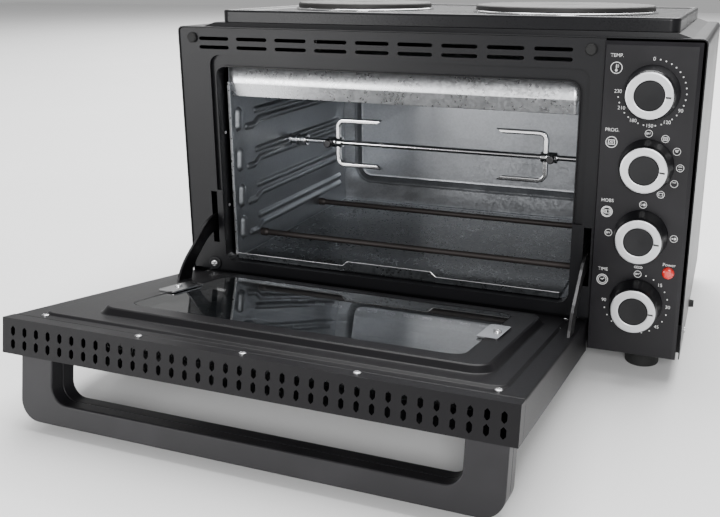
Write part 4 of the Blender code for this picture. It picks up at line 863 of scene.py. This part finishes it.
# %% Knobs
KNOBS = ("temperature", "program", "hob", "timer")
angle = math.radians(93.5)    # of the pointer, clockwise from the top
POINTING = np.array((math.sin(angle), math.cos(angle)))
ACROSS = np.array((math.cos(angle), -math.sin(angle)))
knob_centre = {}
for name in KNOBS:
    node = "knob_" + name
    low, high = span(node)
    centre = ((low + high) / 2)[[0, 2]]
    knob_centre[name] = centre
    face, seat, skirt = low[1], -0.0056, (high[0] - low[0]) / 2
    points = [(0.0030, 0.012), (0.0030, seat), (skirt, seat), (skirt - 0.0004, seat - 0.0016),
              (0.0212, face + 0.0030), (0.0203, face + 0.0009), (0.0198, face + 0.0009),
              (0.0125, face + 0.0009), (0.0123, face + 0.0002), (0.0116, face + 0.0002),
              (0.0004, face + 0.0007)]
    rounds = [0.0003, 0.0006, 0.0008, 0.0016, 0.0004, 0.0003, 0.0002, 0.0003, 0.001]
    cone = lathe(node + "_moulding", points, rounds, "y", centre, KNOB_PLASTIC, node, 128, 5)
    stand_in(node)
    points = [(0.0128, face + 0.0008), (0.0198, face + 0.0008), (0.0198, face + 0.0003), (0.0190, face),
              (0.0134, face), (0.0128, face + 0.0003), (0.0128, face + 0.0008)]
    finish = turned_aluminium("turned ring " + name, 1, np.array((centre[0], 0, centre[1])) + CORNER)
    rounds = [0.0001, 0.0003, 0.0005, 0.0005, 0.0002]
    ring = lathe(node + "_ring", points, rounds, "y", centre, finish, node, 160, ends=False)
    along = np.linspace(0.0133, 0.0178, 8)
    half = np.array((-0.0008, 0.0008))
    flat = centre + along[:, None, None] * POINTING + half[None, :, None] * ACROSS
    outline = np.concatenate((flat[:, 0], flat[::-1, 1]))
    levels = np.stack([raised(outline, "y", level) for level in (face + 0.0002, face - 0.00008)])
    tick = skin(node + "_tick", on_cabinet(levels), TICK_INK, node)
    print(node, "centre", (centre / MM).round(1))

# %% [markdown]
# ## Dials and legends
#
# The dials are pad-printed in white. Each sign is a flat mesh a few hundredths of a
# millimetre off the panel: circles and strokes are drawn as thin ribbons, and letters
# come from Blender's own font, turned into a mesh before they are placed.


# %% Printing on the panel
PANEL_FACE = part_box("control_panel")[0].y - CORNER[1]
PRINT_LEVEL = PANEL_FACE - 0.00006


def ribbon(points, width, closed=False):
    """Flat strip along a line: point plus or minus half the width along the normal."""
    points = np.array(points, float)
    along = np.roll(points, -1, 0) - np.roll(points, 1, 0) if closed else np.gradient(points, axis=0)
    normal = np.stack((-along[:, 1], along[:, 0]), -1) / np.linalg.norm(along, axis=1)[:, None]
    pair = np.stack((points + normal * width / 2, points - normal * width / 2))
    return np.concatenate((pair, pair[:, :1]), 1) if closed else pair


def disc(x, z, radius):
    """Filled circle as a strip: its rim, and its centre repeated."""
    ring = circle(x, z, radius, 24)
    return np.stack((np.concatenate((ring, ring[:1])), np.full((25, 2), (x, z))))


def text_faces(words, x, z, size, align="CENTER"):
    """Letters as (vertices, faces) about the point x, z."""
    curve = bpy.data.curves.new(words, "FONT")
    curve.body, curve.size = words, size
    curve.align_x, curve.align_y = align, "CENTER"
    helper = bpy.data.objects.new(words, curve)
    bpy.context.scene.collection.objects.link(helper)
    bpy.context.view_layer.update()
    mesh = bpy.data.meshes.new_from_object(helper)
    points = np.empty(len(mesh.vertices) * 3)
    mesh.vertices.foreach_get("co", points)
    faces = [tuple(polygon.vertices) for polygon in mesh.polygons]
    bpy.data.objects.remove(helper)
    bpy.data.meshes.remove(mesh)
    return points.reshape(-1, 3)[:, :2] + (x, z), faces


def print_marks(name, strips, words, material, level=PRINT_LEVEL):
    """One mesh of every strip and every word, on the panel's face."""
    points, faces, start = [], [], 0
    for strip in strips:
        rows, columns = strip.shape[:2]
        index = np.arange(rows * columns).reshape(rows, columns) + start
        quads = np.stack((index[0, :-1], index[0, 1:], index[1, 1:], index[1, :-1]), -1)
        points.append(strip.reshape(-1, 2))
        faces.extend(quads.tolist())
        start += rows * columns
    for word in words:
        corners, polygons = text_faces(*word)
        points.append(corners)
        faces.extend([tuple(v + start for v in polygon) for polygon in polygons])
        start += len(corners)
    flat = np.concatenate(points)
    mesh = bpy.data.meshes.new(name)
    mesh.from_pydata(on_cabinet(raised(flat, "y", level)), [], faces)
    item = finished(name, mesh, material, "cabinet")
    thicken(item, 0.00005, 0.0)
    return item


print("printing helpers ready")


# %% Signs used on the dials
def around(centre, radius, degrees):
    """Point on a dial: degrees run clockwise from the top."""
    angle = math.radians(degrees)
    return centre[0] + radius * math.sin(angle), centre[1] + radius * math.cos(angle)


def framed(x, z, size, strokes, width=0.14):
    """Sign in a ring: strokes are polylines in units of the ring's radius."""
    strips = [ribbon(circle(x, z, size, 40), size * 0.15, True)]
    for stroke in strokes:
        points = np.array(stroke, float)
        share = np.linspace(0.0, len(points) - 1.0, 8 * (len(points) - 1) + 1)
        smooth = [np.interp(share, np.arange(len(points)), points[:, i]) for i in (0, 1)]
        strips.append(ribbon(np.stack((x + size * smooth[0], z + size * smooth[1]), -1), size * width))
    return strips


CHAMBER = ((-0.55, -0.4), (-0.55, 0.4), (0.55, 0.4), (0.55, -0.4), (-0.55, -0.4))
PEAK = ((-0.3, -0.15), (-0.1, 0.15), (0.1, -0.15), (0.3, 0.15))
TOP_HEAT = ((-0.5, 0.3), (-0.25, 0.45), (0.0, 0.3), (0.25, 0.45), (0.5, 0.3))
LOW_HEAT = ((-0.5, -0.45), (-0.25, -0.3), (0.0, -0.45), (0.25, -0.3), (0.5, -0.45))
OFF_MARKS = (((-0.62, -0.2), (-0.62, 0.2), (-0.3, 0.2), (-0.3, -0.2), (-0.62, -0.2)),
             ((-0.1, -0.2), (-0.1, 0.2), (0.12, 0.2)), ((0.3, -0.2), (0.3, 0.2), (0.55, 0.2)))
SPIT_MARK = ((-0.5, 0.0), (-0.2, 0.15), (0.2, 0.15), (0.2, -0.15), (-0.2, -0.15), (-0.2, 0.15))


def thermometer(x, z, size):
    """A bulb, a stem and three marks in a ring."""
    strips = [ribbon(circle(x, z, size, 40), size * 0.13, True),
              ribbon(((x, z - size * 0.3), (x, z + size * 0.6)), size * 0.2),
              disc(x, z - size * 0.42, size * 0.24)]
    for rise in (0.1, 0.3, 0.5):
        level = z + size * rise
        strips.append(ribbon(((x + size * 0.2, level), (x + size * 0.4, level)), size * 0.1))
    return strips


def plate_sign(x, z, size, left, right):
    """Two small discs in a ring, filled for the plates that are on."""
    strips = [ribbon(circle(x, z, size, 40), size * 0.15, True)]
    for shift, radius, lit in ((-0.40, 0.24, left), (0.32, 0.38, right)):
        place = (x + shift * size, z, radius * size)
        strips.append(disc(*place) if lit else ribbon(circle(*place, 20), size * 0.1, True))
    return strips


print("dial signs ready")

# %% Print the panel
DIAL, SIGN, SMALL_SIGN, DOT = 0.0285, 0.0048, 0.0031, 0.00066
LABEL_X = 0.4465
temperature, program, hob, timer = (knob_centre[name] for name in KNOBS)
strips, words = [], []
for label, centre in (("TEMP.", temperature), ("PROG.", program), ("HOBS", hob), ("TIME", timer)):
    words.append((label, LABEL_X, centre[1] + 0.0298, 0.0043))
words[0] = ("TEMP.", LABEL_X, temperature[1] + 0.0305, 0.0043)
numbers = {0: "0", 120: "90", 150: "120", 180: "150", 210: "180", 240: "210", 270: "230"}
for degrees in range(0, 271, 10):
    x, z = around(temperature, DIAL, degrees)
    if degrees in numbers:
        words.append((numbers[degrees], x, z, 0.0044))
    else:
        strips.append(disc(x, z, DOT))
strips += thermometer(LABEL_X, temperature[1] + 0.0200, SIGN)
strips += framed(LABEL_X, program[1] + 0.0190, SIGN, (CHAMBER, PEAK), 0.16)
programs = (OFF_MARKS, (CHAMBER, PEAK), (TOP_HEAT, SPIT_MARK), (TOP_HEAT, LOW_HEAT), (TOP_HEAT,),
            (CHAMBER, LOW_HEAT))
for degrees, strokes in zip(range(0, 151, 30), programs):
    strips += framed(*around(program, DIAL, degrees), SMALL_SIGN, strokes, 0.16)
strips += plate_sign(LABEL_X, hob[1] + 0.0195, SIGN, False, False)
strips += framed(LABEL_X, hob[1] + 0.0195, SIGN * 0.8, (CHAMBER,), 0.14)
strips += plate_sign(*around(hob, DIAL, 0), SMALL_SIGN, False, True)
strips += plate_sign(*around(hob, DIAL, 90), SMALL_SIGN, True, True)
strips += framed(*around(hob, DIAL, 270), SMALL_SIGN, OFF_MARKS)
strips += framed(LABEL_X, timer[1] + 0.0198, SIGN, (((0.35, 0.3), (0.0, 0.0), (-0.35, 0.15)),), 0.16)
strips.append(ribbon(circle(LABEL_X, timer[1] + 0.0198, SIGN * 0.72, 36), SIGN * 0.12, True))
numbers = {45: "15", 90: "30", 135: "45", 270: "90"}
for degrees in range(15, 271, 15):
    x, z = around(timer, DIAL, degrees)
    if degrees in numbers:
        words.append((numbers[degrees], x, z, 0.0044))
    elif abs(degrees - 200) > 20:
        strips.append(disc(x, z, DOT))
strips += framed(*around(timer, DIAL, 0), SMALL_SIGN, OFF_MARKS)
x, z = around(timer, DIAL + 0.0065, 0)
for shift in (-0.0026, -0.0009, 0.0009, 0.0026):
    strips.append(ribbon(circle(x + shift, z, 0.0009, 16), 0.0005, True))
LAMP_LOW, LAMP_HIGH = span("power_lamp")
lamp = ((LAMP_LOW + LAMP_HIGH) / 2)[[0, 2]]
words.append(("Power", lamp[0] + 0.0003, lamp[1] + 0.0074, 0.0042))
print_marks("panel_legends", strips, words, INK)
print("legends:", len(words), "words,", len(strips), "strokes")

# %% Lamp lens
front, back = LAMP_LOW[1], LAMP_HIGH[1]
radius = (LAMP_HIGH[0] - LAMP_LOW[0]) / 2
points = [(0.0002, back), (radius - 0.0004, back), (radius - 0.0004, PANEL_FACE), (radius, PANEL_FACE),
          (radius, PANEL_FACE - 0.0006), (radius * 0.86, front + 0.0006), (radius * 0.5, front + 0.0001),
          (0.0002, front)]
rounds = [0.0003, 0.0003, 0.0002, 0.0003, 0.001, 0.002]
lens = lathe("power_lamp_lens", points, rounds, "y", lamp, RED_LENS, "cabinet", 48)
stand_in("power_lamp")
print("lamp radius", round(radius / MM, 1), "mm")

# %% [markdown]
# ## The door
#
# The inside of the door is one pressing too: a flat border, a low step, then a raised
# bezel round the glass. Lofting rounded rectangles through that section gives all of it,
# with the hollow for the glass at the middle.

# %% Inner door panel
DOOR_LEFT, DOOR_RIGHT = 0.0018, 0.4345
INNER_FACE, HINGE_EDGE, FREE_EDGE = 0.008, -0.018, 0.254
outer_border = (DOOR_LEFT, DOOR_RIGHT, HINGE_EDGE, FREE_EDGE, 0.0015)
step_border = (DOOR_LEFT + 0.0173, DOOR_RIGHT - 0.0173, HINGE_EDGE + 0.0120, 0.2425, 0.012)
bezel_base = (0.0562, 0.4010, 0.020, 0.2235, 0.018)
glass_edge = (0.0735, 0.3735, 0.038, 0.199, 0.012)


def grown(border, amount):
    """A rounded rectangle made larger on all sides, with its corner radius."""
    a0, a1, b0, b1, radius = border
    return a0 - amount, a1 + amount, b0 - amount, b1 + amount, max(radius + amount, 0.0008)


def supported(rings, close=0.0004):
    """Add a ring close to each end of every wide span, so that the span shades flat."""
    result = [rings[0]]
    for first, last in zip(rings[:-1], rings[1:]):
        span = np.linalg.norm(last - first, axis=1).mean()
        if span > 4 * close:
            result += [first + (last - first) * close / span, last + (first - last) * close / span]
        result.append(last)
    return result


# each outline, how far it is grown, and how far it stands off the inner face
stack = [(outer_border, 0.0, 0.0012 - INNER_FACE), (outer_border, -0.0001, -0.0010),
         (outer_border, -0.0004, -0.0003), (outer_border, -0.0012, 0.0),
         (step_border, 0.0012, 0.0), (step_border, 0.0004, 0.0004),
         (step_border, -0.0006, 0.0016), (step_border, -0.0016, 0.0020),
         (bezel_base, 0.0016, 0.0020), (bezel_base, 0.0002, 0.0026),
         (bezel_base, -0.0032, 0.0071), (bezel_base, -0.0048, 0.0080),
         (glass_edge, 0.0016, 0.0080), (glass_edge, 0.0006, 0.0076),
         (glass_edge, 0.0004, 0.0066), (glass_edge, 0.0004, 0.0028), (glass_edge, -0.0050, 0.0026)]
rings = supported([raised(rounded(*grown(border, amount), 12, 16), "y", INNER_FACE + rise)
                   for border, amount, rise in stack])
inner_panel = skin("door_inner_pressing", on_door(np.array(rings)), DOOR_COAT, "door", ends=False, smooth=50)
thicken(inner_panel, 0.0008)
stand_in("door_inner_panel")
print("inner door pressing lofted through", len(stack), "outlines")

# %% Screws
def cross_screw(name, place, direction, radius, material, body, move, depth=0.0014):
    """Pan head: a domed disc about a direction, with a cross sunk into it. Height over
    the plane = depth (1 - 0.35 q^4) minus the cross, q = distance / radius."""
    direction = np.array(direction, float)
    guide = np.array((0.0, 0.0, 1.0)) if abs(direction[2]) < 0.9 else np.array((1.0, 0.0, 0.0))
    first = np.cross(direction, guide)
    first /= np.linalg.norm(first)
    second = np.cross(direction, first)
    share = np.concatenate((np.linspace(0.02, 0.94, 16), (1.0, 1.0)))
    angle = np.linspace(0.0, 2 * math.pi, 48, endpoint=False)
    q, t = np.meshgrid(share, angle, indexing="ij")
    a, b = q * radius * np.cos(t), q * radius * np.sin(t)
    width, length = 0.16, 0.58    # of the cross, as shares of the head's radius
    arm = np.minimum(np.maximum(np.abs(a) / width, np.abs(b) / length),
                     np.maximum(np.abs(b) / width, np.abs(a) / length))
    height = depth * (1.0 - 0.35 * q ** 4) - 0.6 * depth * (1.0 - ramp(arm / radius, 0.85, 1.15))
    height[-1] = -0.0002
    grid = np.array(place) + a[..., None] * first + b[..., None] * second + height[..., None] * direction
    head = skin(name, move(grid), material, body, smooth=45)
    return head


def washer_dome(name, place, radius, depth, material):
    """Low round boss on the front frame."""
    x, foot, z = place
    points = [(0.0003, foot), (radius, foot), (radius * 0.92, foot - depth), (0.0003, foot - depth)]
    item = lathe(name, points, [0.0008, 0.0008], "y", (x, z), material, "cabinet", 48)
    return item


FRAME_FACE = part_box("front_frame")[0].y - CORNER[1]
print("screw helper ready; frame face at", round(FRAME_FACE / MM, 1))

# %% Place the screws
BOSS_X, BOSS_Z = 0.0278, 0.0355
cross_screw("frame_boss_screw", (BOSS_X, FRAME_FACE - 0.0016, BOSS_Z), (0, -1, 0), 0.0036, ZINC,
            "cabinet", on_cabinet)
washer_dome("frame_boss", (BOSS_X, FRAME_FACE, BOSS_Z), 0.0078, 0.0017, CABINET_COAT)
edge_screws = ((0.0264, 0.246), (0.1289, 0.2590), (0.2214, 0.2590), (0.3141, 0.2590), (0.4135, 0.245))
for count, (x, z) in enumerate(edge_screws):
    cross_screw("door_edge_screw_%d" % count, (x, INNER_FACE, z), (0, 1, 0), 0.0030, ZINC, "door", on_door)
for count, (x, z) in enumerate(((0.0215, 0.036), (0.0215, -0.004), (0.4150, 0.038), (0.4145, -0.003))):
    cross_screw("door_hinge_screw_%d" % count, (x, INNER_FACE, z), (0, 1, 0), 0.0034, ZINC, "door", on_door)
cross_screw("side_screw", (WIDTH, 0.065, 0.0045), (1, 0, 0), 0.0030, ZINC, "cabinet", on_cabinet)
REAR_LOW, REAR_HIGH = span("rear_cover")
rear_size = REAR_HIGH - REAR_LOW
rear_screws = ((0.05, 0.08), (0.5, 0.05), (0.95, 0.08), (0.05, 0.92), (0.5, 0.95), (0.95, 0.92))
for count, (share_x, share_z) in enumerate(rear_screws):
    place = (REAR_LOW[0] + share_x * rear_size[0], REAR_HIGH[1], REAR_LOW[2] + share_z * rear_size[2])
    cross_screw("rear_screw_%d" % count, place, (0, 1, 0), 0.0032, ZINC, "cabinet", on_cabinet)
for side in ("left", "right"):
    low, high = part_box("glass_clip_" + side)
    x = (low.x + high.x) / 2 - CORNER[0] + (-0.0028 if side == "left" else 0.0028)
    cross_screw("clip_screw_" + side, (x, 0.0176, 0.118), (0, 1, 0), 0.0034, ZINC, "door", on_door)
for count, level in enumerate((0.1005, 0.1795)):
    cross_screw("collar_rivet_%d" % count, (0.0437, 0.010, level), (1, 0, 0), 0.0016, ZINC,
                "cabinet", on_cabinet, 0.0008)
print("screws placed")

# %% [markdown]
# ## The handle
#
# Two plastic shells, screwed together, make a bar with two legs. Seen from the end it
# is a rounded block with a parting line; seen from the front it is a wide U.

# %% Handle shells
SKIN_FACE = -0.0218
HANDLE_X = (0.0196, 0.4283)
LEG, BAR, REACH = 0.031, 0.0185, 0.0542    # width of a leg, width of the bar, reach from the door


def u_outline(inset):
    """Outline of the U: leg, bar, leg, with rounded outside and inside corners."""
    x0, x1 = HANDLE_X[0] + inset, HANDLE_X[1] - inset
    far, near = SKIN_FACE - REACH + inset, SKIN_FACE
    inner_far = SKIN_FACE - REACH + BAR - inset
    leg = LEG - inset
    leg_left, leg_right = x0 - inset + leg, x1 - leg + inset
    outer, inner = 0.018 - inset, 0.014 + inset
    t = np.linspace(0.0, math.pi / 2, 14)
    left_outer = np.stack((x0 + outer - outer * np.cos(t), far + outer - outer * np.sin(t)), -1)
    right_outer = np.stack((x1 - outer + outer * np.sin(t), far + outer - outer * np.cos(t)), -1)
    right_inner = np.stack((leg_right - inner + inner * np.cos(t), inner_far + inner - inner * np.sin(t)), -1)
    left_inner = np.stack((leg_left + inner - inner * np.sin(t), inner_far + inner - inner * np.cos(t)), -1)

    def straight(start, stop, count):
        """Points between start and stop, without the two ends."""
        return np.linspace(start, stop, count + 2)[1:-1]

    parts = [np.array(((x0, near),)), straight((x0, near), left_outer[0], 6), left_outer,
             straight(left_outer[-1], right_outer[0], 40), right_outer,
             straight(right_outer[-1], (x1, near), 6), np.array(((x1, near), (leg_right, near))),
             straight((leg_right, near), right_inner[0], 4), right_inner,
             straight(right_inner[-1], left_inner[0], 40), left_inner,
             straight(left_inner[-1], (leg_left, near), 4), np.array(((leg_left, near),))]
    return np.concatenate(parts)


for node, start, end in (("handle_front_shell", 0.2522, 0.265), ("handle_rear_shell", 0.239, 0.2518)):
    outward = 1 if node == "handle_front_shell" else -1
    face, seam = (end, start) if outward > 0 else (start, end)
    levels = [(0.0004, seam), (0.0, seam + outward * 0.0004), (0.0, seam + outward * 0.0008),
              (0.0, face - outward * 0.0016), (0.0, face - outward * 0.0012),
              (0.0003, face - outward * 0.0004), (0.0010, face), (0.0014, face)]
    rings = [raised(u_outline(inset), "z", level) for inset, level in levels]
    shell = skin(node + "_moulding", on_door(np.array(rings)), HANDLE_PLASTIC, "door", smooth=50)
    stand_in(node)
print("handle shells moulded")

# %% [markdown]
# ## Feet and a plate
#
# Moulded rubber feet, and the small things that finish a cabinet.

# %% Feet
for corner in ("front_left", "front_right", "rear_left", "rear_right"):
    low, high = span("foot_" + corner)
    centre, radius = ((low + high) / 2)[:2], (high[0] - low[0]) / 2
    points = [(0.0004, high[2]), (radius, high[2]), (radius, low[2]), (radius * 0.55, low[2]),
              (radius * 0.50, low[2] + 0.002), (0.0004, low[2] + 0.002)]
    rounds = [0.001, 0.0025, 0.001, 0.001]
    foot = lathe("foot_" + corner + "_moulding", points, rounds, "z", centre, RUBBER, "cabinet", 56)
    stand_in("foot_" + corner)
print("four feet moulded")

# %% Rating plate, left blank
plate_outline = rounded(0.20, 0.28, 0.10, 0.145, 0.003, 6, 4)
low_level = REAR_HIGH[1]
rings = [raised(plate_outline, "y", low_level - 0.0001), raised(plate_outline, "y", low_level + 0.0004)]
rating = skin("rating_plate", on_cabinet(np.array(rings)), REFLECTOR_SHEET, "cabinet")
soften(rating, 0.0001, 1)

# %% [markdown]
# ## Floor and light
#
# A wide pale floor under a dim, even sky. A large soft box hangs behind and above, so
# the floor is bright and the black sheet is not; a second lights the floor further back.
# One soft box stands low at the left: the
# front of the cabinet mirrors it. One at the right front looks into the cavity.

# %% Floor, surround and lamps
floor_finish = Finish("pale floor", (0.80, 0.80, 0.80), 0.55, Specular_IOR_Level=0.2)
shade = floor_finish.place.noise(3, 4.0)
floor_finish.set("Base Color", shade.between((0.80, 0.80, 0.80), (0.86, 0.86, 0.86)))
floor_mesh = bpy.data.meshes.new("floor")
edge = 9.0
corners = [(-edge, -edge, 0), (edge, -edge, 0), (edge, edge, 0), (-edge, edge, 0)]
floor_mesh.from_pydata(corners, [], [(0, 1, 2, 3)])
floor_mesh.materials.append(floor_finish.material)
floor = bpy.data.objects.new("floor", floor_mesh)
bpy.context.scene.collection.objects.link(floor)
world = bpy.data.worlds.new("surround")
bpy.context.scene.world = world
world.use_nodes = True
world.node_tree.nodes["Background"].inputs["Color"].default_value = (1.0, 1.0, 1.0, 1.0)
world.node_tree.nodes["Background"].inputs["Strength"].default_value = 0.42


def soft_box(name, place, aim, width, height, power):
    """Area lamp at a place, facing a point."""
    data = bpy.data.lights.new(name, "AREA")
    data.shape, data.size, data.size_y, data.energy = "RECTANGLE", width, height, power
    item = bpy.data.objects.new(name, data)
    bpy.context.scene.collection.objects.link(item)
    item.location = Vector(place)
    item.rotation_euler = (Vector(aim) - Vector(place)).to_track_quat("-Z", "Y").to_euler()
    return item


soft_box("overhead", (0.0, 0.9, 2.6), (0.0, 0.5, 0.0), 2.6, 2.4, 170)
soft_box("far", (-0.8, 4.0, 2.6), (-0.8, 3.6, 0.0), 4.4, 3.6, 330)
soft_box("left", (-1.5, -2.2, 0.35), (-0.1, 0, 0.2), 1.0, 0.7, 26)
soft_box("cavity", (0.55, -1.7, 0.75), (0.0, 0, 0.15), 0.6, 0.6, 24)
print("floor and four soft boxes")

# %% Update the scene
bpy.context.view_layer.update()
